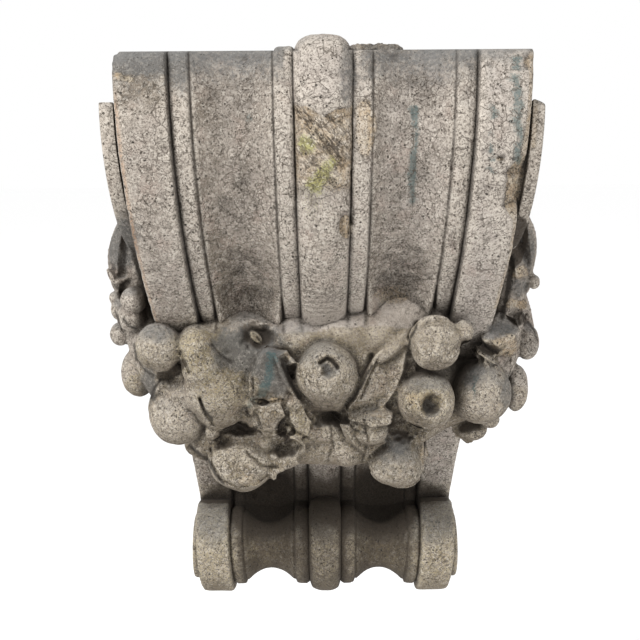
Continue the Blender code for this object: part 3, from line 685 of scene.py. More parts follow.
def pear(u, v, proud, wide):
    """A pear hanging with its stalk up, its foot knocked flat."""
    outline = ((-0.80, 0.0), (-0.79, 0.42), (-0.74, 0.66), (-0.62, 0.84), (-0.40, 0.97), (-0.1, 1.0),
               (0.2, 0.92), (0.45, 0.76), (0.70, 0.58), (0.95, 0.48), (1.2, 0.43), (1.4, 0.39), (1.52, 0.30),
               (1.57, 0.0))
    centre = point_at(u, v, proud)
    size = wide * pixel_at(centre)
    profile = [(along * size, radius * size) for along, radius in outline]
    return turned("pear", centre, (0.10, 0.05, 1), profile, 32)


def lump(u, v, proud, wide, deep, tall, squareness=1.0):
    """A soft rounded mass, its depth counted in fruits."""
    centre = point_at(u, v, proud)
    pixel = pixel_at(centre)
    return ball("lump", centre, (wide * pixel, deep * FRUIT, tall * pixel), squareness, 40, 24)


def leaf(base, tip, facing, width, thick, cup=0.0, arch=0.0, ragged=0.0, blunt=0.0):
    """A leaf from base to tip: a blade with a raised spine, its edges cupped, arched or torn."""
    steps, beside = 20, 12
    start = point_at(*base)
    along = point_at(*tip) - start
    side = along.cross(Vector(facing)).normalized()
    up = side.cross(along).normalized()
    bpy.ops.object.select_all(action="DESELECT")
    bpy.ops.mesh.primitive_grid_add(x_subdivisions=beside, y_subdivisions=steps, size=2)
    piece = bpy.context.object
    flat = get_points(piece)
    s = flat[:, 0]
    t = (flat[:, 1] + 1) / 2
    swell = np.sin(math.pi * (0.06 + (0.88 - 0.30 * blunt) * t) ** 0.85) ** 0.8
    tear = rough(np.column_stack([t * 0.1, s * 0.1, 0 * t]), 0.022, int(base[0]))
    swell *= 1 + ragged * tear * np.abs(s)
    lift = cup * s * s + arch * np.sin(math.pi * t) + 0.08 * (1 - np.abs(s))
    points = np.array(start) + t[:, None] * np.array(along)
    points += (s * swell * width * pixel_at(start))[:, None] * np.array(side)
    points += (lift * FRUIT)[:, None] * np.array(up)
    set_points(piece, points)
    shell = piece.modifiers.new("thickness", "SOLIDIFY")
    shell.thickness = max(thick * FRUIT, 0.007)
    shell.offset = 1 if np.dot(np.array(up), get_normals(piece)[len(points) // 2]) < 0 else -1
    choose(piece)
    bpy.ops.object.modifier_apply(modifier="thickness")
    return piece


def ridge(path, thick):
    """A rounded ridge along a path of points, thinning at its ends."""
    curve = spline([point_at(*point) for point in path], 6)
    last = len(curve) - 1
    radii = [thick * FRUIT * (0.45 + 0.55 * math.sin(math.pi * k / last)) for k in range(len(curve))]
    return bar("ridge", curve, radii, 12)


def shard(corners):
    """A broken lump with flat faces between corners."""
    bm = bmesh.new()
    for corner in corners:
        bm.verts.new(point_at(*corner))
    bmesh.ops.convex_hull(bm, input=bm.verts)
    return finish_piece("shard", bm)


def bar(name, path, radii, sides):
    """A round bar along a path, with capped ends, that doesn't twist where the path turns."""
    points = []
    run = (path[1] - path[0]).normalized()
    helper = Vector((0, 0, 1)) if abs(run.z) < 0.9 else Vector((1, 0, 0))
    first = run.cross(helper).normalized()
    for k, point in enumerate(path):
        run = (path[min(k + 1, len(path) - 1)] - path[max(k - 1, 0)]).normalized()
        first = (first - run * first.dot(run)).normalized()
        second = run.cross(first)
        for step in range(sides):
            turn = 2 * math.pi * step / sides
            points.append(point + (first * math.cos(turn) + second * math.sin(turn)) * radii[k])
    faces = ring_faces(len(path), sides)
    faces.append(tuple(range(sides)))
    faces.append(tuple(range((len(path) - 1) * sides, len(path) * sides)))
    piece = make_piece(name, points, faces)
    face_outward(piece)
    return piece


# Ornament that belongs to the block


def make_knuckle():
    """The end of the middle roll, which turns over the edge of the bed."""
    front = BED_EDGE_OUT + ROLL_RISE_AT_BED - BAND_RISE
    wide = KNUCKLE_SWELL * ROLL_EDGE_AT_BED * BED_WIDTH / 2
    centre = Vector((0, KNUCKLE_LENGTH / 2 - front, BED_Z - EMBED))
    radii = (wide, KNUCKLE_LENGTH / 2, KNUCKLE_RISE + EMBED - 0.001)
    over = ball("knuckle", centre, radii, KNUCKLE_SQUARENESS, 48, 32)
    centre = Vector((0.0008, 0.016 - front, BED_Z - 0.036))
    nose = ball("knuckle nose", centre, (1.01 * wide, 0.026, 0.036 + KNUCKLE_RISE - 0.003), 0.85, 64, 48)
    worn = melt([over, nose], VOXEL, 0.5, 6)
    points = get_points(worn)
    normals = get_normals(worn)
    u, v = seen(points)
    rings = np.sin((v - 92 - 0.006 * (u - 322) ** 2) * 1.9) * spot(u, v, 324, 97, 30, 8, 0.4)
    loss = 0.0006 * (1 + rough(points, 0.008, 83)) + 0.0010 * (1 + rough(points, 0.03, 84)) + 0.0006 * rings
    set_points(worn, points - normals * loss[:, None])
    return worn


def make_mortar():
    """Mortar left on the bed beside the roll."""
    patch = ball("mortar", (MORTAR_ACROSS, -MORTAR_OUT, BED_Z), MORTAR_SIZE, 0.7, 120, 48)
    points = get_points(patch)
    crumbs = 0.5 + 0.35 * rough(points, 0.014, 81) + 0.65 * rough(points, 0.0055, 82, 2)
    points[:, 2] -= 0.0060 * np.clip(crumbs, 0, 1.2) * (points[:, 2] > BED_Z + 0.0008)
    set_points(patch, points)
    return patch


def make_fillet_end():
    """The raised end of the fillet left of the roll, standing a little over the bed."""
    wide, deep, tall = FILLET_END_SIZE
    front = BED_EDGE_OUT - BAND_RISE - 0.002
    centre = (FILLET_END_ACROSS, deep - front, BED_Z - EMBED)
    end = ball("fillet end", centre, (wide, deep, tall + EMBED), 0.45, 40, 24)
    points = get_points(end)
    points[:, 2] -= 0.0012 * (1 + rough(points, 0.010, 86)) * (points[:, 2] > BED_Z)
    set_points(end, points)
    return end


def make_side_scroll(side):
    """A raised spiral with an eye on a side face; the right one's outer end has worn round."""
    centre_z = BED_Z - SIDE_SCROLL_DROP
    start = math.asin((SIDE_SCROLL_DROP - SIDE_SCROLL_TOP) / SIDE_SCROLL_RADIUS)
    turns = [(start, SIDE_SCROLL_RADIUS)]
    turns += [(-quarter * math.pi / 2, share * SIDE_SCROLL_RADIUS) for quarter, share in SIDE_SPIRAL]
    points = []
    path = spline(turns, 24)
    for k, (angle, radius) in enumerate(path):
        width = SIDE_RIB_WIDTH * (0.45 + 0.55 * radius / SIDE_SCROLL_RADIUS)
        rise = SIDE_SCROLL_RISE * (0.90 if side > 0 else 1)
        if side > 0:
            rise *= 0.45 + 0.55 * float(ramp(np.array(k / 5), 0, 1)) ** 0.5
        inner = radius - width
        groove = radius - SIDE_GROOVE_DEPTH
        section = ((groove, -EMBED), (groove, SIDE_GROOVE_WIDTH), (radius, SIDE_GROOVE_WIDTH + 0.0012),
                   (radius, 0.80 * rise), (radius - 0.0012, 0.95 * rise), (radius - 0.0045, rise),
                   (radius - width * 0.5, 0.95 * rise), (inner + 0.004, 0.84 * rise), (inner, 0.70 * rise),
                   (inner, -EMBED))
        for reach, lift in section:
            z = centre_z + reach * math.sin(angle)
            out = SIDE_SCROLL_OUT + reach * math.cos(angle)
            points.append(Vector((side * (half_width(z) + lift), -out, z)))
    count = len(points) // len(path)
    faces = ring_faces(len(path), count)
    faces.append(tuple(range(count)))
    faces.append(tuple(range(len(points) - count, len(points))))
    rib = make_piece("side scroll", points, faces)
    face_outward(rib)
    eye = 0.20 * SIDE_SCROLL_RADIUS
    outline = [(-EMBED, 0), (-EMBED, eye), (0.5 * SIDE_SCROLL_RISE, eye)]
    for k in range(1, 7):
        angle = k / 6 * math.pi / 2
        lift = (0.5 + 0.5 * math.sin(angle)) * SIDE_SCROLL_RISE
        outline.append((lift, eye * math.cos(angle) if k < 6 else 0))
    centre = Vector((side * half_width(centre_z), -SIDE_SCROLL_OUT, centre_z))
    return [rib, turned("scroll eye", centre, (side, 0, 0), outline, 40)]


def make_foot_button(side):
    """The low round boss on the side of the foot scroll, with a ring sunk in it."""
    outline = [(-EMBED, 0), (-EMBED, FOOT_BUTTON_RADIUS)]
    outline += [(rise * FOOT_BUTTON_RISE, reach * FOOT_BUTTON_RADIUS) for rise, reach in FOOT_BUTTON_OUTLINE]
    centre = Vector((side * half_width(SCROLL_Z), -SCROLL_OUT, SCROLL_Z))
    return turned("foot button", centre, (side, 0, 0), outline, 72)


# The swag

# The inner mass: across, down, proud, radius in fruits
SWAG_SPINE = (
    (-1.10, 0.262, -4.0, 0.35), (-1.12, 0.330, -3.3, 0.55), (-1.12, 0.400, -2.6, 0.70),
    (-1.06, 0.490, -1.0, 1.05), (-0.86, 0.555, 0.50, 1.20), (-0.50, 0.545, 0.70, 1.20),
    (-0.15, 0.530, 0.70, 1.20), (0.20, 0.530, 0.70, 1.20), (0.52, 0.540, 0.60, 1.10),
    (0.84, 0.550, 0.20, 1.00), (1.06, 0.515, -0.8, 1.05), (1.14, 0.420, -2.2, 0.70),
    (1.12, 0.335, -3.3, 0.52), (1.10, 0.262, -4.0, 0.32),
)
SWAG_UNDERSIDE = (
    (-0.84, 0.600, 0.80, 0.75), (-0.60, 0.640, 1.55, 0.95), (-0.30, 0.645, 1.60, 0.95),
    (0.05, 0.650, 1.55, 0.95), (0.32, 0.650, 1.55, 0.90), (0.56, 0.625, 1.40, 0.80),
    (0.80, 0.590, 0.80, 0.80), (1.02, 0.590, 0.30, 0.70),
)


def swag_body():
    """The mass that the fruit and leaves stand on."""
    pieces = []
    for spine in (SWAG_SPINE, SWAG_UNDERSIDE):
        path = spline([place(across, down, proud) for across, down, proud, radius in spine], 6)
        sizes = spline([(radius * FRUIT, 0, 0) for across, down, proud, radius in spine], 6)
        pieces.append(bar("spine", path, [size.x for size in sizes], 24))
    return pieces


# The smooth cloth between the face and the fruit, and the worn boss left of the middle
CLOTH = (
    (240, 330, -0.95, 50, 1.60, 30), (250, 350, -0.40, 52, 1.65, 36), (300, 332, -0.85, 50, 1.60, 30),
    (342, 328, -0.85, 44, 1.60, 32), (320, 352, -0.40, 62, 1.70, 42), (356, 352, -0.15, 30, 1.45, 40),
    (402, 318, -1.05, 62, 1.35, 38), (374, 326, -0.90, 44, 1.60, 34), (392, 334, -0.75, 56, 1.55, 42),
    (372, 356, -0.4, 50, 1.55, 50), (372, 378, 0.2, 42, 1.25, 46), (197, 345, 0.35, 20, 1.05, 24, 0.95),
    (205, 362, 0.75, 25, 1.10, 30, 0.95), (228, 362, 0.35, 30, 1.10, 30),
    (218, 386, 1.15, 35, 1.25, 36, 0.95), (220, 404, 1.55, 25, 0.95, 27), (243, 390, 1.15, 24, 0.95, 28),
    (268, 408, 1.55, 22, 0.85, 24, 0.9), (347, 443, 2.00, 19, 0.75, 26), (326, 426, 1.70, 24, 0.75, 18),
    (305, 427, 1.85, 17, 0.75, 17), (291, 447, 2.15, 15, 0.60, 13), (293, 398, 1.70, 13, 0.65, 17),
    (371, 429, 2.25, 19, 0.65, 18), (205, 442, 1.65, 14, 0.60, 15), (519, 240, -4.0, 9, 0.40, 17),
)


def fruits():
    """The fruit, each where it hangs in the swag."""
    return [
        fruit(327.5, 374, 1.65, 33, 33.5, (0.02, -1, 0.32), lumpy=0.07),
        fruit(242, 460, 2.40, 34.5, 29.5, (-0.1, -1, 0.3), cuts=(((-0.1, -1, 0.1), 0.93),)),
        fruit(179, 413, 1.35, 30.5, 33, (-0.4, -1, 0.1), cuts=(((-0.1, -1, 0.55), 0.93),)),
        fruit(158.5, 347, 0.50, 24.5, 26, (-0.3, -1, 0.2), lumpy=0.06, cuts=(((0.2, -0.8, 0.8), 0.90),)),
        fruit(139, 372, -0.29, 18.5, 26, (-1, -0.5, 0.2)),
        fruit(435.5, 344.5, 0.94, 26, 28, (0.1, -1, 0.2), lumpy=0.07,
              cuts=(((-0.5, -1, 0.25), 0.84), ((0.5, -1, 0.1), 0.86), ((-0.1, -1, -0.8), 0.86),
                    ((-1, -0.5, -0.2), 0.88))),
        fruit(426.5, 400, 2.02, 29.5, 30, (0.12, -1, 0.16), dent=0.30, lumpy=0.06),
        fruit(481, 392, 1.20, 31, 34, (0.3, -1, 0.2),
              cuts=(((0.35, -1, -0.1), 0.90), ((-0.5, -0.6, 0.6), 0.93))),
        fruit(516, 388, 0.00, 12.5, 25, (1, -0.4, 0.1)),
        fruit(527, 342, -1.18, 12.5, 19, (1, -0.4, 0.1)),
        pear(396, 461, 2.50, 28),
        fruit(213, 432, 2.25, 8.5, 9.5),
        fruit(463, 332, 0.60, 11, 13.5, lumpy=0.08),
        fruit(134, 300, -1.55, 14, 14.5, (-0.4, -1, 0.2)),
        fruit(131, 317, -1.25, 15, 15, (-0.4, -1, 0.2)),
        fruit(121, 310, -1.75, 11, 12),
        fruit(120, 334, -1.45, 11, 13),
        fruit(115.5, 298, -2.15, 7, 7.5),
        fruit(534, 282, -2.60, 7, 8),
        fruit(472, 430, 1.30, 16, 11, lumpy=0.10),
        fruit(490, 419, 1.30, 11, 10, lumpy=0.08),
    ]


def leaves():
    """Leaves between the fruit, whole and torn."""
    return [
        leaf((123, 216, -3.5), (115, 290, -2.6), (-0.9, -0.8, 0.5), 12.5, 0.5, arch=0.25, blunt=1),
        leaf((523, 208, -3.5), (533, 268, -2.9), (0.9, -0.7, 0.4), 10, 0.35, arch=0.2, blunt=0.4),
        leaf((512, 240, -3.3), (522, 297, -2.4), (0.6, -0.9, 0.3), 14, 0.6, arch=0.35, blunt=1),
        leaf((521, 288, -2.3), (533, 332, -1.7), (0.8, -0.8, 0.2), 9, 0.5, blunt=0.5),
        leaf((262, 346, 0.6), (318, 424, 2.10), (0.35, -1, 0.30), 25, 0.6, cup=0.10, blunt=0.5),
        leaf((398, 345, 0.6), (338, 420, 2.10), (-0.2, -1, 0.35), 28, 0.7, cup=0.10, blunt=0.5),
        leaf((410, 358, 0.8), (362, 415, 2.20), (0.1, -1, 0.3), 24, 0.6, blunt=0.5),
        leaf((276, 352, 1.3), (264, 400, 2.15), (0.1, -1, 0.45), 19, 0.4, cup=0.1, ragged=0.3, blunt=1),
        leaf((270, 392, 1.9), (276, 436, 2.55), (0.0, -1, 0.25), 17, 0.4, cup=0.1, ragged=0.5, blunt=0.6),
        leaf((246, 402, 1.9), (256, 430, 2.40), (-0.3, -1, 0.3), 14, 0.4, ragged=0.6, blunt=0.6),
        leaf((296, 436, 2.2), (254, 468, 2.95), (0.2, -1, 0.35), 20, 0.35, cup=0.15, ragged=0.3, blunt=0.4),
        leaf((300, 452, 2.1), (280, 463, 2.50), (0.4, -0.8, -0.5), 8, 0.35, blunt=0.5),
        leaf((188, 436, 1.6), (209, 461, 1.80), (-0.2, -1, 0.2), 13, 0.45),
        leaf((346, 414, 2.2), (394, 416, 2.50), (0.05, -1, 0.9), 12, 0.35, arch=0.12, ragged=0.3, blunt=0.5),
        leaf((352, 420, 2.3), (378, 448, 2.55), (0.1, -1, 0.1), 15, 0.4, cup=0.15, blunt=0.5),
        leaf((421, 436, 1.7), (423, 472, 2.0), (1, -0.6, 0), 9, 0.3, ragged=0.4),
        leaf((474, 346, 0.4), (500, 367, 0.6), (0, -0.6, 0.9), 11, 0.3, ragged=0.3, blunt=0.5),
        leaf((456, 420, 1.2), (472, 442, 1.35), (-0.1, -1, 0.1), 11, 0.4, ragged=0.4, blunt=0.5),
        leaf((498, 405, 0.6), (486, 428, 0.8), (0.4, -1, 0.1), 9, 0.3, blunt=0.5),
    ]


# Thin turned edges of leaves and cups: path and thickness
RIMS = (
    (((275, 355, 1.55), (283, 371, 1.80), (291, 387, 2.00), (303, 405, 2.15)), 0.17),
    (((384, 349, 1.40), (372, 362, 1.65), (363, 380, 1.95), (354, 399, 2.20), (346, 410, 2.28)), 0.15),
    (((424, 314, -0.3), (408, 332, 0.20), (391, 348, 0.75), (376, 362, 1.15)), 0.34),
    (((208, 452, 2.3), (211, 467, 2.65), (223, 483, 3.00), (243, 490, 3.15), (258, 486, 3.10),
      (267, 480, 2.95)), 0.10),
    (((412, 358, 0.75), (411, 341, 0.80), (418, 326, 0.70), (431, 319, 0.55), (445, 320, 0.45),
      (454, 328, 0.50)), 0.16),
    (((151, 420, 1.2), (150, 408, 1.2), (154, 394, 1.20), (163, 384, 1.15)), 0.12),
    (((476, 351, 0.75), (486, 358, 0.90), (499, 366, 0.85)), 0.07),
    (((284, 444, 2.6), (294, 437, 2.75), (304, 446, 2.70), (302, 457, 2.60)), 0.10),
    (((107, 268, -2.6), (116, 281, -2.3), (131, 276, -2.5)), 0.16),
    (((524, 222, -3.3), (529, 240, -3.1), (532, 262, -2.9), (529, 285, -2.6)), 0.12),
    (((376, 477, 2.75), (392, 485, 3.05), (410, 486, 3.00), (421, 478, 2.80)), 0.09),
)


# Corners of the broken lumps
SHARDS = (
    ((256, 404, 1.6), (282, 400, 1.6), (257, 406, 2.35), (281, 402, 2.35), (286, 416, 2.65), (279, 431, 2.75),
     (263, 432, 2.75), (258, 418, 2.60), (270, 432, 1.6)),
    ((289, 404, 1.9), (300, 402, 2.1), (313, 421, 2.45), (309, 440, 2.75), (295, 434, 2.75), (288, 418, 2.55),
     (300, 425, 1.6)),
    ((474, 322, -1.1), (500, 310, -1.3), (517, 318, -0.9), (521, 331, -0.2), (500, 346, 0.55),
     (481, 340, 0.40), (519, 347, -0.2), (498, 358, 0.40), (482, 346, -0.2), (505, 352, -1.2)),
)


def broken_pieces():
    """Stubs where fruit has snapped away, and the broken block at the right."""
    pieces = [shard(corners) for corners in SHARDS]
    for u, v, proud, radius, length in ((519, 272, -2.7, 6.5, 12), (515.5, 307, -1.9, 11.5, 17)):
        centre = point_at(u, v, proud)
        pixel = pixel_at(centre)
        reach = length * pixel / 2
        outline = ((-reach, 0), (-reach, radius * pixel), (reach, 0.94 * radius * pixel), (reach, 0))
        pieces.append(turned("stub", centre, (0.30, -0.55, 0.80), outline, 24))
    return pieces


# What the tool and the weather cut back, seen from the front: centre, radii, depth in fruits and softness
HOLLOWS = (
    (328, 369, 6, 8, 0.24, 0.6), (329, 416, 14, 7, 0.30, 0.6), (257, 336, 14, 10, 0.42, 0.7),
    (283, 427, 5, 7, 0.32, 0.8), (284, 447, 11, 7, 0.38, 0.7), (411, 429, 15, 10, 0.36, 0.8),
    (365, 474, 5, 6, 0.50, 0.5), (466, 347, 9, 6, 0.36, 0.8), (429, 407, 7, 8, 0.16, 0.6),
    (235, 428, 17, 6, 0.30, 0.8), (262, 397, 13, 5, 0.16, 0.8), (222, 440, 9, 6, 0.25, 0.8),
    (517, 318, 9, 7, 0.30, 0.7), (505, 372, 5, 15, 0.20, 0.9), (171, 379, 8, 6, 0.18, 0.9),
    (243, 412, 9, 6, 0.22, 0.8),
)
# Creases: path, half width and depth in fruits
CREASES = (
    (((200, 398), (203, 408), (208, 417), (213, 424), (222, 430)), 3.0, 0.20),
    (((321, 363), (327, 359), (332, 361), (337, 367)), 4.4, 0.26),
    (((181, 352), (184, 362), (189, 372)), 3.5, 0.22), (((212, 345), (220, 355), (232, 362)), 3.0, 0.10),
    (((253, 402), (262, 404), (272, 402), (282, 399)), 2.5, 0.14),
    (((252, 378), (254, 389), (251, 401)), 2.5, 0.12),
    (((284, 360), (291, 378), (301, 395), (315, 410), (330, 417)), 7.0, 0.24),
    (((371, 356), (363, 375), (354, 395), (342, 412)), 5.0, 0.20),
    (((378, 360), (369, 378), (361, 398)), 2.5, 0.08),
    (((211, 448), (212.5, 464), (221, 479), (238, 487.5), (256, 483.5), (267, 475)), 2.2, 0.12),
    (((287, 420), (297, 432), (313, 441)), 2.5, 0.10), (((330, 422), (333, 445), (327, 462)), 2.5, 0.08),
    (((364, 420), (368, 440), (362, 462)), 2.5, 0.10), (((180, 362), (186, 372), (184, 384)), 3.0, 0.10),
    (((246, 452), (262, 466), (276, 467)), 2.5, 0.10), (((417, 322), (409, 338), (411, 356)), 2.5, 0.10),
    (((486, 345), (497, 353), (503, 349)), 2.5, 0.12), (((147, 339), (149, 352)), 1.6, 0.03),
    (((152, 343), (154, 360)), 1.6, 0.03), (((158, 347), (159, 364)), 1.6, 0.03),
    (((142, 352), (150, 366)), 1.6, 0.04), (((300, 372), (306, 391), (318, 402)), 2.0, 0.04),
)
# Thin black lines round a form, dirt and painted shade where forms meet: path and half width
DARK_OUTLINES = (
    (((190, 446), (200, 455), (210, 462), (215, 473), (223, 483)), 2.6),
    (((125, 210), (130, 235), (135, 258), (139, 272)), 3.2),
    (((134, 345), (137, 360), (146, 371), (156, 377)), 1.8), (((151, 398), (155, 387), (162, 379)), 2.2),
    (((200, 400), (205, 410), (212, 419)), 2.0), (((107, 283), (116, 286), (121, 292)), 2.2),
    (((123, 318), (129, 326), (136, 329)), 2.0), (((116, 312), (120, 324), (123, 333)), 1.6),
    (((321, 363), (327, 358), (332, 361), (338, 368)), 2.6), (((282, 365), (290, 382), (299, 398)), 2.2),
    (((253, 334), (261, 342)), 1.7), (((351, 401), (362, 385), (371, 366)), 2.0),
    (((407, 356), (410, 340), (417, 325)), 1.8), (((482, 343), (494, 352), (501, 350)), 2.2),
    (((528, 322), (534, 330), (538, 341)), 1.5), (((276, 428), (283, 421), (287, 416)), 2.0),
    (((345, 418), (354, 430), (366, 433)), 1.6),
)


def carve(points, normals):
    """Sink the hollows and creases into what faces the front."""
    u, v = seen(points)
    away = points - np.array(CAMERA_PLACE)
    away /= np.linalg.norm(away, axis=1)[:, None]
    ragged = 3.0 * rough(points, 0.007, 131, 2)
    depth = np.zeros(len(points))
    for *where, sink, edge in HOLLOWS:
        depth = np.maximum(depth, sink * spot(u + ragged, v - ragged, *where, edge))
    for path, width, sink in CREASES:
        depth = np.maximum(depth, sink * ramp(stroke(u + 0.3 * ragged, v, path, width), 0.0, 0.9))
    depth -= 0.15 * lens_mark(u, v)
    facing = -(normals * away).sum(axis=1)
    return points + away * (depth * FRUIT * ramp(facing, 0.0, 0.25))[:, None]


def make_swag():
    """The whole swag as one closed skin, worn like the rest."""
    mass = melt(swag_body() + [lump(*row) for row in CLOTH], SOFT_VOXEL, 0.5, 28)
    rims = [ridge(*row) for row in RIMS]
    swag = melt([mass] + fruits() + leaves() + rims + broken_pieces(), VOXEL, 0.4, 1)
    points = get_points(swag)
    normals = get_normals(swag)
    loss = 0.0005 * (1 + rough(points, 0.009, 91)) + 0.0008 * (1 + rough(points, 0.030, 92))
    set_points(swag, carve(points - normals * loss[:, None], normals))
    return swag


def unite(block, other):
    """Join another closed skin to the block's, as one cast body."""
    union = block.modifiers.new("cast", "BOOLEAN")
    union.operation = "UNION"
    union.solver = "MANIFOLD"
    union.object = other
    choose(block)
    bpy.ops.object.modifier_apply(modifier="cast")
    bpy.data.objects.remove(other)


def thin_out(piece, limit):
    """Bring the piece under a number of triangles, keeping its form."""
    choose(piece)
    triangles = sum(len(face.vertices) - 2 for face in piece.data.polygons)
    if triangles > limit:
        fewer = piece.modifiers.new("fewer", "DECIMATE")
        fewer.ratio = limit / triangles
        bpy.ops.object.modifier_apply(modifier="fewer")


def cut_flats(piece):
    """Cut the flat sides, bed and back into cells, so that what is worked out at their points stays local."""
    bm = bmesh.new()
    bm.from_mesh(piece.data)
    flats = set()
    for face in bm.faces:
        centre = face.calc_center_median()
        on_side = abs(face.normal.x) > 0.99 and abs(abs(centre.x) - half_width(centre.z)) < 0.0003
        on_bed = face.normal.z > 0.995 and centre.z > BED_Z - 0.0003
        if on_side or on_bed or face.normal.y > 0.99 or face.normal.z < -0.98:
            flats.update([face], face.edges, face.verts)
    flats = list(flats)
    for axis, low, high in ((0, -BED_WIDTH / 2, BED_WIDTH / 2), (1, -PROJECTION, 0), (2, FOOT_Z, BED_Z)):
        direction = Vector([float(k == axis) for k in range(3)])
        for at in np.arange(low + FLAT_CELL, high - 0.5 * FLAT_CELL, FLAT_CELL):
            flats = bmesh.ops.bisect_plane(bm, geom=flats, dist=0.00001, plane_co=direction * at,
                                           plane_no=direction)["geom"]
    bmesh.ops.delete(bm, geom=[vert for vert in bm.verts if not vert.link_faces], context="VERTS")
    bm.to_mesh(piece.data)
    bm.free()
    piece.data.update()


def make_body():
    """The whole corbel as one closed piece."""
    block = make_block()
    for part in [make_knuckle(), make_fillet_end(), make_mortar(), make_swag()]:
        unite(block, part)
    for side in (-1, 1):
        for part in make_side_scroll(side) + [make_foot_button(side)]:
            unite(block, part)
    thin_out(block, TRIANGLE_LIMIT)
    cut_flats(block)
    return block


def studio():
    """A plain pale floor, soft light from above and in front, and a pale surround."""
    bpy.ops.object.select_all(action="DESELECT")
    bpy.ops.mesh.primitive_plane_add(size=FLOOR_SIZE, location=(0, 0, FOOT_Z - FLOOR_DROP))
    floor = bpy.context.object
    floor.name = "floor"
    paper = bpy.data.materials.new("pale paper")
    paper.use_nodes = True
    shader = paper.node_tree.nodes["Principled BSDF"]
    shader.inputs["Base Color"].default_value = PAPER_WHITE
    shader.inputs["Roughness"].default_value = 0.95
    shader.inputs["Specular IOR Level"].default_value = 0.1
    floor.data.materials.append(paper)
    world = bpy.data.worlds.new("surround")
    bpy.context.scene.world = world
    world.use_nodes = True
    world.node_tree.nodes["Background"].inputs["Color"].default_value = (1, 1, 1, 1)
    world.node_tree.nodes["Background"].inputs["Strength"].default_value = 1.0
    for name, lamp_place, size, power in LAMPS:
        lamp = bpy.data.lights.new(name, "AREA")
        lamp.energy = power
        lamp.size = size
        light = put(name, lamp)
        light.location = lamp_place
        light.rotation_euler = (Vector(LAMP_AIM) - light.location).to_track_quat("-Z", "Y").to_euler()
    bpy.context.scene.view_settings.view_transform = "Standard"


# Weathering, painted shade and painted light, kept on the skin as masks

# Round marks on the front, in the photograph's pixels: centre, radii and strength; the grime marks are grime
# and painted shade, as on the knuckle's right side and in dark gaps and pits of the swag
GRIME_AND_SHADE_MARKS = (
    (348, 72, 9, 36, 0.60), (271, 374, 15, 21, 0.75), (240, 350, 30, 24, 0.85), (276, 338, 16, 12, 0.45),
    (396, 440, 12, 11, 0.50), (262, 447, 16, 12, 0.25), (283, 376, 12, 20, 0.45), (122, 244, 16, 26, 1.00),
    (469, 374, 14, 16, 0.65), (149, 384, 9, 19, 0.75), (507, 392, 7, 22, 0.60), (519, 287, 12, 10, 0.65),
    (528, 250, 8, 22, 0.70), (328, 369, 4, 6, 0.90), (428, 405, 7, 7, 0.90), (499, 330, 18, 8, 0.55),
    (158, 333, 16, 10, 0.40), (530, 345, 9, 9, 0.35), (396, 464, 26, 24, 0.30), (327, 392, 28, 14, 0.22),
)
BROKEN_MARKS = (
    (501, 158, 4, 4, 0.7), (531, 62, 9, 10, 0.6), (118, 77, 9, 4, 0.8), (130, 79, 6, 3, 0.6),
    (517, 304, 11, 5, 1.0), (519, 272, 9, 6, 1.0), (268, 401, 15, 3, 1.0), (270, 417, 12, 14, 0.40),
    (257, 338, 6, 6, 0.45), (156, 94, 7, 22, 0.30), (247, 482, 9, 4, 0.9), (380, 412, 14, 3, 0.5),
    (250, 481, 8, 5, 1.0), (505, 345, 14, 12, 0.8), (378, 414, 17, 4, 0.6), (420, 395, 16, 14, 0.45),
    (415, 408, 20, 14, 0.35), (424, 455, 4, 10, 0.8), (213, 375, 30, 46, 0.35), (392, 295, 22, 12, 0.45),
)
# The same with how soft the edge is before the strength
ALGAE_MARKS = (
    (200, 345, 22, 24, 0.8, 0.80), (225, 385, 28, 30, 0.9, 0.50), (299, 424, 13, 20, 0.6, 0.35),
    (425, 398, 24, 18, 0.8, 0.50), (136, 376, 12, 20, 0.8, 0.35),
)
# Where the clay is lighter, or darker below 0; the lighter marks on the fruit are painted light on their lit
# sides
TONE_AND_LIGHT_MARKS = (
    (179, 408, 28, 26, 0.40), (158, 345, 20, 16, 0.30), (490, 400, 20, 22, 0.30), (245, 468, 24, 16, 0.12),
    (517, 395, 8, 16, 0.50), (134, 380, 7, 16, 0.30), (240, 350, 30, 22, -0.35), (322, 262, 24, 42, -0.25),
    (330, 376, 32, 32, -0.32), (396, 461, 28, 26, -0.45), (242, 460, 34, 28, -0.32),
    (481, 392, 28, 32, 0.22), (179, 413, 28, 30, 0.22), (435, 345, 22, 20, 0.20), (134, 300, 10, 8, 0.30),
)
# What is left of the old paint: path, half width and strength
PAINT_STROKES = (
    (((413, 108), (415, 140), (414, 165), (413, 200)), 5.0, 1.0),
    (((491, 108), (491, 140), (491, 170)), 4.0, 1.0),
    (((516, 60), (516, 80), (518, 110), (520, 135), (517, 160)), 6.5, 1.0),
    (((245, 118), (255, 112)), 3.0, 0.7), (((272, 356), (268, 380), (262, 394)), 7.0, 1.0),
    (((258, 396), (250, 404)), 5.0, 0.6), (((475, 378), (474, 398)), 3.5, 0.7),
    (((120, 108), (122, 116)), 3.0, 0.4),
)
# Painted shadow in the gaps beside the bands, behind the right one, and under the fruit at the left
LEFT_GAP = ((118, 190), (127, 228), (136, 262), (144, 290), (154, 322))
RIGHT_GAP = ((513, 258), (508, 290), (502, 317))
GAP_BEHIND = ((520, 226), (514, 258))
UNDER_FRUIT = ((160, 376), (170, 375), (178, 369), (183, 363))

# How near the face a point counts as on it, and how squarely it must look at the camera
NEAR_FACE = 0.012
FRONT_SHARE = 0.03
# How far ragged outlines stray, in pixels, and the size of their lumps
STRAY = 3.5
STRAY_SIZE = 0.014
# The share of the half width that the roll's broken front takes
ON_BROKEN_ROLL = 0.142


def neighbour_mean(values, edges, counts):
    """Each point's value averaged over its neighbours."""
    total = np.zeros_like(values)
    np.add.at(total, edges[:, 0], values[edges[:, 1]])
    np.add.at(total, edges[:, 1], values[edges[:, 0]])
    return total / counts


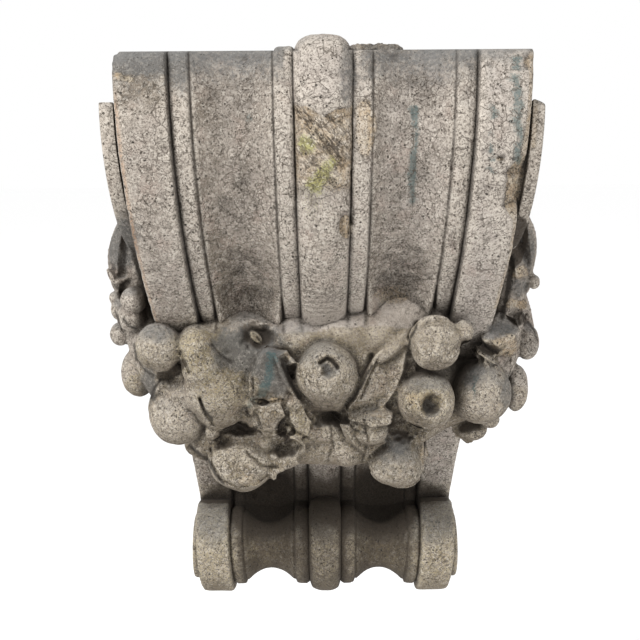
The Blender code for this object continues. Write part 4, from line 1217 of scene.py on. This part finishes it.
def open_sky(piece, points, normals):
    """How open each point is to the air round it, from 0 in a deep hollow to 1."""
    tree = BVHTree.FromPolygons([tuple(p) for p in points], [tuple(f.vertices) for f in piece.data.polygons])
    directions = []
    for k in range(SKY_RAYS):
        z = 1 - (2 * k + 1) / SKY_RAYS
        turn = k * math.pi * (3 - math.sqrt(5))
        reach = math.sqrt(1 - z * z)
        directions.append(Vector((reach * math.cos(turn), reach * math.sin(turn), z)))
    open_share = np.zeros(len(points))
    whole = np.zeros(len(points))
    facing = normals @ np.array([tuple(d) for d in directions]).T
    starts = [Vector(p) for p in points + normals * SKY_LIFT]
    for k, direction in enumerate(directions):
        for at in np.nonzero(facing[:, k] > SKY_SLANT)[0]:
            weight = facing[at, k]
            whole[at] += weight
            if tree.ray_cast(starts[at], direction, SKY_REACH)[0] is None:
                open_share[at] += weight
    return open_share / np.maximum(whole, 0.01)


def keep_mask(piece, name, values):
    """Keep a mask on the piece's points, for its material to read."""
    mask = piece.data.attributes.new(name, "FLOAT", "POINT")
    mask.data.foreach_set("value", np.clip(values, 0, 1).astype(np.float32))


class Skin:
    """The finished form, measured once for all that lies on it."""

    def __init__(self, piece):
        points, normals = get_points(piece), get_normals(piece)
        edges = np.array([tuple(edge.vertices) for edge in piece.data.edges])
        counts = np.maximum(np.bincount(edges.ravel(), minlength=len(points))[:, None].astype(float), 1)

        def eased(values, rounds):
            """Values averaged over their neighbours, some rounds of it."""
            for k in range(rounds):
                values = neighbour_mean(values, edges, counts)
            return values

        sky = open_sky(piece, points, normals)[:, None]
        for k in range(2):
            sky = 0.5 * sky + 0.5 * neighbour_mean(sky, edges, counts)
        to_camera = np.array(CAMERA_PLACE) - points
        to_camera /= np.linalg.norm(to_camera, axis=1)[:, None]
        self.points, self.normals = points, normals
        self.soft_normals = eased(normals, 4)
        self.bend = ((eased(points, 6) - points) * normals).sum(axis=1)
        self.closed = 1 - sky[:, 0]
        self.u, self.v = seen(points)
        self.worn_u = self.u + STRAY * rough(points, STRAY_SIZE, 201)
        self.worn_v = self.v + STRAY * rough(points, STRAY_SIZE, 202)
        self.half = half_width(points[:, 2])
        self.across = points[:, 0] / self.half
        self.side = np.abs(self.across)
        self.left = self.across < 0
        self.drop = (BED_Z - points[:, 2]) / HEIGHT
        self.proud = -points[:, 1] - face_out(points[:, 2])
        self.off_face = self.proud > NEAR_FACE
        self.front = (self.soft_normals * to_camera).sum(axis=1) > FRONT_SHARE
        self.on_face = self.front & (self.proud < NEAR_FACE) & (self.side < 1.01)
        self.band = ramp(self.side, 0.735, 0.755)

    def mark(self, *where):
        """A soft round mark, given as spot is."""
        return spot(self.u, self.v, *where)

    def worn_mark(self, *where):
        """A round mark with a ragged outline."""
        return spot(self.worn_u, self.worn_v, *where)


def shade_and_dirt_in_gaps(skin):
    """Painted shade, with some dirt, in the gaps between forms and under the swag, on top of what the want of
    air does.
    """
    u, v = skin.u, skin.v
    dark = skin.mark(325, 494, 118, 26, 0.6) * skin.on_face * (v > 462)
    dark += 0.8 * (v > 498) * (1 - ramp(v, 508, 528)) * (skin.proud < 0.03) * (skin.drop > 0.7)
    dark += 1.2 * (skin.drop > 0.80) * (1 - ramp(skin.side, 0.66, 0.74))
    dark += 0.3 * ramp(v, 330, 420) * skin.off_face
    dark += skin.mark(257, 337, 13, 10, 0.5) * (1 - 1.3 * lens_mark(u + 1, v + 1))
    dark += 1.6 * ramp(stroke(u, v, GAP_BEHIND, 11.0), 0.0, 0.4) * (skin.side > 1.003) * (v > 216)
    dark += 1.2 * ramp(stroke(u, v, UNDER_FRUIT, 7.0), 0.1, 0.6)
    dark += 1.2 * skin.mark(520, 319, 8, 7, 0.5) + 0.8 * skin.mark(492, 350, 14, 5, 0.5)
    return dark * skin.front


def soot(skin):
    """Soot on what faces up, less on the cloth, the knuckle, the boss and the mortar."""
    laid = ramp(skin.soft_normals[:, 2], 0.10, 0.85) * (1 - 0.75 * skin.mark(395, 318, 74, 46, 0.5))
    laid *= 1 - 0.6 * skin.mark(326, 60, 34, 34, 0.4)
    laid *= 1 - 0.8 * skin.mark(215, 370, 44, 56, 0.4) - 0.8 * skin.mark(245, 455, 40, 26, 0.4)
    return laid * (1 - 0.9 * skin.mark(384, 46, 38, 8, 0.3))


def grime_and_shade(skin):
    """Slate-coloured grime under the bed, on the foot scrolls and on the swag, with painted shade on the
    knuckle's right side and in dark gaps and pits of the swag.
    """
    v, band, left = skin.v, skin.band, skin.left
    slate = (1 - ramp(skin.worn_v, 69, 76)) * 0.75 * band * left
    slate += (1 - ramp(v, 56, 78)) * 0.32 * band * (skin.across > 0)
    slate += (1 - ramp(v, 72, 124)) * 0.36 * ramp(skin.side, 0.64, 0.66) * left
    slate += (1 - ramp(v, 56, 104)) * 0.62 * (1 - band) * ramp(skin.side, 0.16, 0.20)
    foot_band = (skin.side > 0.745) * (skin.drop > 0.7) * (v > 480)
    stain_edge = np.where(left, 537 - 12 * ramp(skin.worn_u, 213, 222), 521)
    slate += 0.75 * foot_band * ramp(v, 494, 501) * (1 - ramp(v, stain_edge - 1, stain_edge + 2))
    slate *= skin.on_face
    for *where, share in GRIME_AND_SHADE_MARKS:
        slate += share * skin.worn_mark(*where, 0.6) * skin.front
    return slate * (1 - lens_mark(skin.u, v))


def seams(skin):
    """Thin black lines of dirt and painted shade: at the steps, beside the bands, round the fruit and in the
    side grooves.
    """
    u, v, side, points = skin.u, skin.v, skin.side, skin.points
    black = np.zeros(len(u))
    line = 0.0013 + 0.0009 * ramp(v, 110, 200)
    for edge, strength in ((roll_edge_at(skin.drop), 0.8), (INNER_STEP_EDGE, 0.9),
                           (OUTER_STEP_EDGE, 0.9), (OUTER_FILLET_EDGE, 1.0)):
        near = np.exp(-((side - edge) * skin.half / line) ** 2)
        black = np.maximum(black, strength * near * (0.55 + 0.6 * noise(points, 0.03, 17)))
    black *= skin.on_face
    beside_band = np.maximum(stroke(u, v, LEFT_GAP, 3.4), stroke(u, v, RIGHT_GAP, 4.0))
    black = np.maximum(black, ramp(beside_band, 0.0, 0.5) * (side > 1.004) * (skin.proud < 0))
    for outline, width in DARK_OUTLINES:
        drawn = stroke(u + 0.3 * (skin.worn_u - u), v, outline, width)
        black = np.maximum(black, 0.9 * ramp(drawn, 0.0, 0.7) * skin.front)
    past_side = np.abs(points[:, 0]) - skin.half
    from_eye = np.hypot(-points[:, 1] - SIDE_SCROLL_OUT, points[:, 2] - BED_Z + SIDE_SCROLL_DROP)
    in_groove = np.abs(past_side - SIDE_GROOVE_WIDTH / 2) < 0.6 * SIDE_GROOVE_WIDTH
    in_groove = in_groove * (from_eye < SIDE_SCROLL_RADIUS + 0.002)
    in_groove = in_groove * (from_eye > SIDE_SCROLL_RADIUS - 2 * SIDE_GROOVE_DEPTH)
    return np.maximum(black, in_groove * skin.front)


def warm_edge(skin):
    """The warm line of bare clay along the left band's outer edge."""
    line = np.exp(-(((1 - skin.side) * skin.half - 0.003) / 0.0030) ** 2) * skin.left * (skin.drop < 0.42)
    return line * skin.on_face * (skin.normals[:, 1] < -0.6) * ramp(skin.drop, 0.04, 0.09)


def torn(skin):
    """Sandy broken clay: the roll's front, the crust, the right edge, chips, stubs and snapped leaves."""
    on_roll = (skin.side < ON_BROKEN_ROLL) * skin.on_face
    bare = ramp(skin.worn_v - nose_edge(skin.u), 0, 6) * (1 - ramp(skin.worn_v, 150, 222)) * on_roll
    bare += 0.8 * skin.worn_mark(365, 128, 11, 30, 0.4) * skin.on_face
    bare += 0.5 * (skin.points[:, 2] > BED_Z + 0.001) * skin.mark(384, 46, 34, 6)
    bare += 0.8 * skin.mark(346, 227, 7, 12) * skin.on_face
    lost, inward = right_edge_loss(skin.drop)
    right_edge = ramp((skin.across - 1) * skin.half, -lost * 1.1 - 0.001, -lost * 0.7)
    bare += right_edge * (skin.across > 0.5) * (skin.across < 1.02) * skin.front * (skin.drop < 0.40)
    for *where, share in BROKEN_MARKS:
        bare += share * skin.worn_mark(*where, 0.5) * skin.front
    return bare


def lichen(skin):
    """Green lichen on the broken roll."""
    green = 0.9 * skin.worn_mark(306, 144, 9, 11, 0.9)
    green += 0.9 * stroke(skin.worn_u, skin.worn_v, ((315, 186), (334, 160)), 11)
    return (green + 0.45 * skin.mark(312, 196, 18, 34, 0.9)) * skin.on_face


def slant(skin):
    """Where dark strokes lie on a slant, along the break across the roll."""
    u, v = skin.u, skin.v
    drawn = np.exp(-(from_break(u, v) / 5.5) ** 2) * ramp(u, 290, 298) * (1 - ramp(u, 338, 347))
    drawn *= skin.side < 0.15
    drawn += 0.6 * torn(skin) * (skin.side < ON_BROKEN_ROLL) * skin.mark(322, 150, 34, 40, 0.5)
    return np.maximum(drawn, stroke(u, v, ((326, 115), (333, 120), (342, 122)), 3.5)) * skin.on_face


def algae(skin):
    """Yellow algae on the swag and the foot."""
    gold = 0.7 * lens_mark(skin.u, skin.v)
    for *where, share in ALGAE_MARKS:
        gold += share * skin.mark(*where)
    gold += 0.42 * skin.off_face * ramp(skin.v, 300, 330) + 0.40 * (skin.drop > 0.8)
    return gold * skin.front


def old_paint(skin):
    """Streaks of blue-green paint."""
    left_over = np.zeros(len(skin.u))
    for path, width, strength in PAINT_STROKES:
        drawn = stroke(skin.worn_u, skin.worn_v, path, width)
        left_over = np.maximum(left_over, strength * ramp(drawn, 0, 0.6))
    return left_over * skin.front


def tone(skin):
    """How light the bare clay is, from dark at 0 to pale at 1, with painted shade on the left of each channel
    and painted light on the lit sides of some fruit.
    """
    v, side, across, worn_v = skin.v, skin.side, skin.across, skin.worn_v
    light = 0.30 * ramp(side, 0.735, 0.76) * (1 - ramp(skin.drop, 0.33, 0.5))
    light += 0.16 * ramp(across, 0.20, 0.24) - 0.24 * ramp(-across, 0.735, 0.76)
    light += 0.26 * (1 - ramp(side, 0.22, 0.25)) + 0.10 * ramp(side, 0.22, 0.25)
    # Painted shade on the left side of each channel, which faces away from the key lamp
    light -= 0.30 * ramp(-across, 0.46, 0.60) * (1 - ramp(-across, 0.645, 0.655)) * ramp(v, 70, 110)
    light -= 0.22 * (1 - ramp(across, 0.26, 0.36)) * ramp(across, 0.236, 0.242)
    light -= 0.60 * skin.band * skin.left * (1 - ramp(worn_v, 82, 118))
    light -= 0.35 * ramp(side, 0.64, 0.66) * skin.left * (1 - ramp(worn_v, 90, 124))
    light -= 0.26 * ramp(v, 200, 300) * (1 - ramp(side, 0.64, 0.66)) * ramp(side, 0.22, 0.25)
    light = 0.5 + light * skin.on_face + 0.18 * skin.mark(320, 70, 30, 40, 0.4)
    light += 0.16 * (skin.drop > 0.8) * (side > 0.7) - 0.30 * skin.off_face * ramp(v, 300, 330)
    for *where, share in TONE_AND_LIGHT_MARKS:
        light += share * skin.mark(*where, 0.7)
    return light


def fine_lines(skin):
    """Where fine lines run across the roll and the cloth."""
    lines = skin.mark(322, 98, 26, 7, 0.3) + skin.mark(322, 301, 22, 14, 0.3)
    lines += 0.35 * skin.mark(322, 262, 20, 40, 0.5) + 0.7 * skin.mark(386, 285, 20, 7, 0.5)
    return lines * skin.on_face


def calm(skin):
    """Where the cloth is too smooth to be crazed."""
    smooth = skin.mark(345, 326, 62, 22, 0.5) + skin.mark(236, 336, 30, 16, 0.5)
    return smooth + skin.mark(384, 330, 40, 30, 0.5)


def weather(piece):
    """Work out where soot, damp, breaks, lichen, paint, painted shade and painted light lie on the finished
    form.
    """
    skin = Skin(piece)
    masks = {
        # hollow: creases, for black dirt and painted shade
        "hollow": ramp(skin.bend, 0.0001, 0.0016),
        "ridge": ramp(-skin.bend, 0.0001, 0.0014),
        # shade: painted shade where little air reaches, with damp and dirt in the gaps
        "shade": skin.closed + 0.45 * shade_and_dirt_in_gaps(skin),
        "soot": soot(skin),
        "grime_and_shade": grime_and_shade(skin),
        "seam": seams(skin),
        "warm": warm_edge(skin),
        # underside: painted shade on what faces down, off the face
        "underside": ramp(-skin.soft_normals[:, 2], 0.05, 0.85) * (skin.proud > 0.01),
        "torn": torn(skin),
        "lichen": lichen(skin),
        "slant": slant(skin),
        "algae": algae(skin),
        "paint": old_paint(skin),
        "tone": tone(skin),
        "lines": fine_lines(skin),
        "calm": calm(skin),
    }
    for name, values in masks.items():
        keep_mask(piece, name, values)


# The fired clay


def add(tree, kind, inputs=None, **settings):
    """A shader node with its settings and inputs; an input may be a value or another node's socket."""
    node = tree.nodes.new(kind)
    for name, value in settings.items():
        setattr(node, name, value)
    for name, value in (inputs or {}).items():
        if isinstance(value, bpy.types.NodeSocket):
            tree.links.new(value, node.inputs[name])
        else:
            node.inputs[name].default_value = value
    return node


def terracotta():
    """Buff terracotta: crazed, pitted and speckled, with soot, damp, breaks, lichen and old paint, and
    painted shade and highlights.
    """
    material = bpy.data.materials.new("weathered terracotta")
    material.use_nodes = True
    tree = material.node_tree
    shader = tree.nodes["Principled BSDF"]
    where = add(tree, "ShaderNodeTexCoord").outputs["Object"]

    def mask(name):
        """A mask that the skin carries."""
        return add(tree, "ShaderNodeAttribute", attribute_name=name).outputs["Fac"]

    def step(operation, first, second, clamp=False):
        """One step of arithmetic."""
        node = add(tree, "ShaderNodeMath", {0: first, 1: second}, operation=operation, use_clamp=clamp)
        return node.outputs[0]

    def times(first, second):
        """Two values multiplied."""
        return step("MULTIPLY", first, second)

    def plus(first, second):
        """Two values added."""
        return step("ADD", first, second)

    def less(first, second, clamp=False):
        """One value taken from another."""
        return step("SUBTRACT", first, second, clamp)

    def spared(value, share):
        """What is left of 1 where a value takes a share."""
        return less(1.0, times(value, share))

    def frayed(value, cloud, reach):
        """A value whose edges a grain has frayed."""
        return plus(value, times(less(cloud, 0.5), reach))

    def grain(scale, detail=2.0, roughness=0.6, distortion=0.0, at=where):
        """Cloudy noise, from 0 to 1."""
        cloud = {"Scale": scale, "Detail": detail, "Roughness": roughness, "Distortion": distortion}
        return add(tree, "ShaderNodeTexNoise", {"Vector": at, **cloud}).outputs["Fac"]

    def between(value, low, high, start=0.0, end=1.0):
        """A value carried smoothly from one range to another."""
        ranges = {"From Min": low, "From Max": high, "To Min": start, "To Max": end}
        node = add(tree, "ShaderNodeMapRange", {"Value": value, **ranges}, interpolation_type="SMOOTHSTEP")
        return node.outputs[0]

    def cells(scale, at, **settings):
        """A field of cells, each round its own point."""
        inputs = {"Vector": at, "Scale": scale, "Randomness": 1.0}
        return add(tree, "ShaderNodeTexVoronoi", inputs, **settings)

    def strayed(scale, detail, reach):
        """Where each place strays to, in clouds of a size."""
        cloud = add(tree, "ShaderNodeTexNoise", {"Vector": where, "Scale": scale, "Detail": detail})
        shift = add(tree, "ShaderNodeVectorMath", {0: cloud.outputs["Color"], 1: (reach, reach, reach)},
                    operation="MULTIPLY")
        return add(tree, "ShaderNodeVectorMath", {0: where, 1: shift.outputs[0]}, operation="ADD").outputs[0]

    def coat(under, over, share):
        """One colour laid over another by a share."""
        node = add(tree, "ShaderNodeMixRGB", {"Fac": share})
        for name, value in (("Color1", under), ("Color2", over)):
            if isinstance(value, bpy.types.NodeSocket):
                tree.links.new(value, node.inputs[name])
            else:
                node.inputs[name].default_value = (*value, 1.0)
        return node.outputs["Color"]

    bent = strayed(60.0, 2.0, 0.006)
    broad = grain(7.0, 3.0)
    patchy = grain(38.0, 4.0, 0.65)
    fine = grain(380.0, 3.0, 0.7)
    finest = grain(900.0, 2.0, 0.7)
    mottle = grain(120.0, 3.0, 0.7)

    body_tone = plus(times(broad, 0.40), times(patchy, 0.60))
    body_tone = plus(body_tone, times(mask("tone"), 0.9))
    colour = coat(CLAY_BROWN, CLAY_BUFF, between(body_tone, 0.50, 1.02))
    colour = coat(colour, CLAY_PALE, between(body_tone, 0.92, 1.45))
    colour = coat(colour, CLAY_PINK, times(between(grain(23.0, 2.0), 0.52, 0.72), 0.45))

    # Where it broke, it is sandy and warm
    torn = between(frayed(mask("torn"), fine, 0.9), 0.30, 0.62)
    colour = coat(colour, BROKEN_OCHRE, times(torn, 0.75))
    colour = coat(colour, BROKEN_PALE, times(torn, between(patchy, 0.48, 0.66, 0.0, 0.85)))

    # Paler knocked edges, with a painted highlight on every convex edge
    colour = coat(colour, PALE_EDGE_AND_HIGHLIGHT, times(mask("ridge"), between(fine, 0.35, 0.60, 0.15, 0.75)))

    # Algae, lichen and paint, and slate grime with painted shade
    colour = coat(colour, ALGAE_GOLD, times(mask("algae"), between(fine, 0.42, 0.60, 0.15, 0.85)))
    lichen = between(frayed(mask("lichen"), fine, 1.6), 0.45, 0.80)
    colour = coat(colour, LICHEN_GREEN, times(lichen, 0.70))
    grime_and_shade = between(frayed(frayed(mask("grime_and_shade"), mottle, 1.2), fine, 0.8), 0.12, 0.72)
    colour = coat(colour, SLATE_GRIME_AND_SHADE, times(grime_and_shade, 0.85))

    # The crumb of the clay: light and dark grains, and small pits thick as pepper
    sound = less(1.0, mask("calm"), clamp=True)
    crumb = cells(290.0, bent)
    crumb_tone = add(tree, "ShaderNodeSeparateColor", {"Color": crumb.outputs["Color"]}).outputs[0]
    open_grain = times(between(mottle, 0.36, 0.60, 0.50, 1.0), plus(times(sound, 0.6), 0.4))
    open_grain = times(open_grain, spared(grime_and_shade, 0.55))
    colour = coat(colour, SPECK_LIGHT, times(between(crumb_tone, 0.55, 0.95, 0.0, 0.42), open_grain))
    colour = coat(colour, SPECK_DARK, times(between(crumb_tone, 0.34, 0.05, 0.0, 0.45), open_grain))
    colour = coat(colour, SPECK_DARK, times(between(fine, 0.51, 0.39, 0.0, 0.84), open_grain))
    colour = coat(colour, SPECK_LIGHT, times(between(finest, 0.52, 0.66, 0.0, 0.52), open_grain))
    pepper = cells(190.0, where)
    pepper_pick = add(tree, "ShaderNodeSeparateColor", {"Color": pepper.outputs["Color"]}).outputs[1]
    pepper_reach = between(pepper_pick, 0.35, 1.0, 0.02, 0.30)
    peppered = between(less(pepper.outputs["Distance"], pepper_reach), 0.06, -0.08)
    colour = coat(colour, SPECK_DARK, times(times(peppered, 0.95), open_grain))

    # Soot lies on what faces up, thin and smooth, with a ragged edge
    soot = between(frayed(frayed(mask("soot"), patchy, 1.1), fine, 0.9), 0.10, 1.05)
    colour = coat(colour, SOOT_GREY, times(soot, 0.55))
    paint = between(frayed(mask("paint"), fine, 3.0), 0.30, 1.10)
    colour = coat(colour, OLD_PAINT, times(paint, 0.72))
    # Painted shade on the undersides of the swag
    colour = coat(colour, UNDERSIDE_SHADE_BROWN, times(mask("underside"), between(patchy, 0.30, 0.65, 0.85, 0.50)))

    # Painted shade, with damp and dirt, where little air reaches
    shade = frayed(mask("shade"), patchy, 0.35)
    colour = coat(colour, SHADE_AND_DAMP_BROWN, between(shade, 0.38, 0.86, 0.0, 0.88))
    # Black dirt and painted shade in creases, quirks, gaps and grooves
    colour = coat(colour, DIRT_AND_SHADE_BLACK, times(mask("hollow"), between(fine, 0.25, 0.65, 0.95, 0.45)))
    colour = coat(colour, DIRT_AND_SHADE_BLACK, times(mask("seam"), 0.95))
    colour = coat(colour, WARM_EDGE, times(mask("warm"), between(fine, 0.40, 0.58, 0.10, 0.75)))

    # Dark strokes where the roll broke on a slant
    slope = {"Rotation": (0.0, math.radians(48), 0.0), "Scale": (0.014, 0.014, 0.0030)}
    slanted = add(tree, "ShaderNodeMapping", {"Vector": where, **slope}, vector_type="TEXTURE")
    strokes = between(grain(1.0, 2.0, 0.6, 0.4, slanted.outputs[0]), 0.54, 0.46)
    colour = coat(colour, CRACK_BROWN, times(times(strokes, mask("slant")), 0.85))

    # Pits and the net of fine cracks
    bare = spared(step("MAXIMUM", times(soot, 0.5), grime_and_shade), 0.75)
    pit = cells(120.0, bent)
    pit_size = between(grain(70.0, 1.0), 0.45, 0.80, 0.0, 0.22)
    pits = between(less(pit.outputs["Distance"], pit_size), 0.06, -0.03)
    pits = times(pits, spared(soot, 0.55))
    colour = coat(colour, PIT_BLACK, times(pits, 0.90))
    net = cells(74.0, strayed(34.0, 3.0, 0.026), feature="DISTANCE_TO_EDGE")
    crack_here = between(grain(26.0, 2.0), 0.42, 0.54)
    crack = times(between(net.outputs["Distance"], 0.046, 0.012), crack_here)
    crack = times(crack, times(bare, sound))
    colour = coat(colour, CRACK_BROWN, times(crack, 0.62))

    shader.inputs["Roughness"].default_value = 0.92
    shader.inputs["Specular IOR Level"].default_value = 0.25
    tree.links.new(colour, shader.inputs["Base Color"])

    # Relief too fine for the mesh
    waves = {"Scale": 36.0, "Distortion": 3.0, "Detail": 2.0, "Detail Scale": 4.0}
    rings = add(tree, "ShaderNodeTexWave", {"Vector": where, **waves}, wave_type="BANDS",
                bands_direction="Z").outputs["Fac"]
    relief = times(fine, 0.9)
    relief = plus(relief, times(finest, 0.35))
    relief = plus(relief, times(grain(95.0, 3.0), 0.8))
    relief = times(relief, spared(soot, 0.55))
    relief = less(relief, times(step("MAXIMUM", pits, peppered), 0.7))
    relief = less(relief, times(crack, 0.25))
    relief = plus(relief, times(torn, times(grain(150.0, 4.0, 0.7), 1.6)))
    relief = plus(relief, times(mask("lines"), times(rings, 1.2)))
    bump = add(tree, "ShaderNodeBump", {"Height": relief, "Strength": 0.85, "Distance": 0.0022})
    tree.links.new(bump.outputs["Normal"], shader.inputs["Normal"])
    return material


camera()
studio()
body = make_body()
body.data.materials.clear()
body.data.materials.append(terracotta())
choose(body)
bpy.ops.object.shade_smooth_by_angle(angle=CRISP_ANGLE)
weather(body)
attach(body, "root")
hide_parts("corbel")
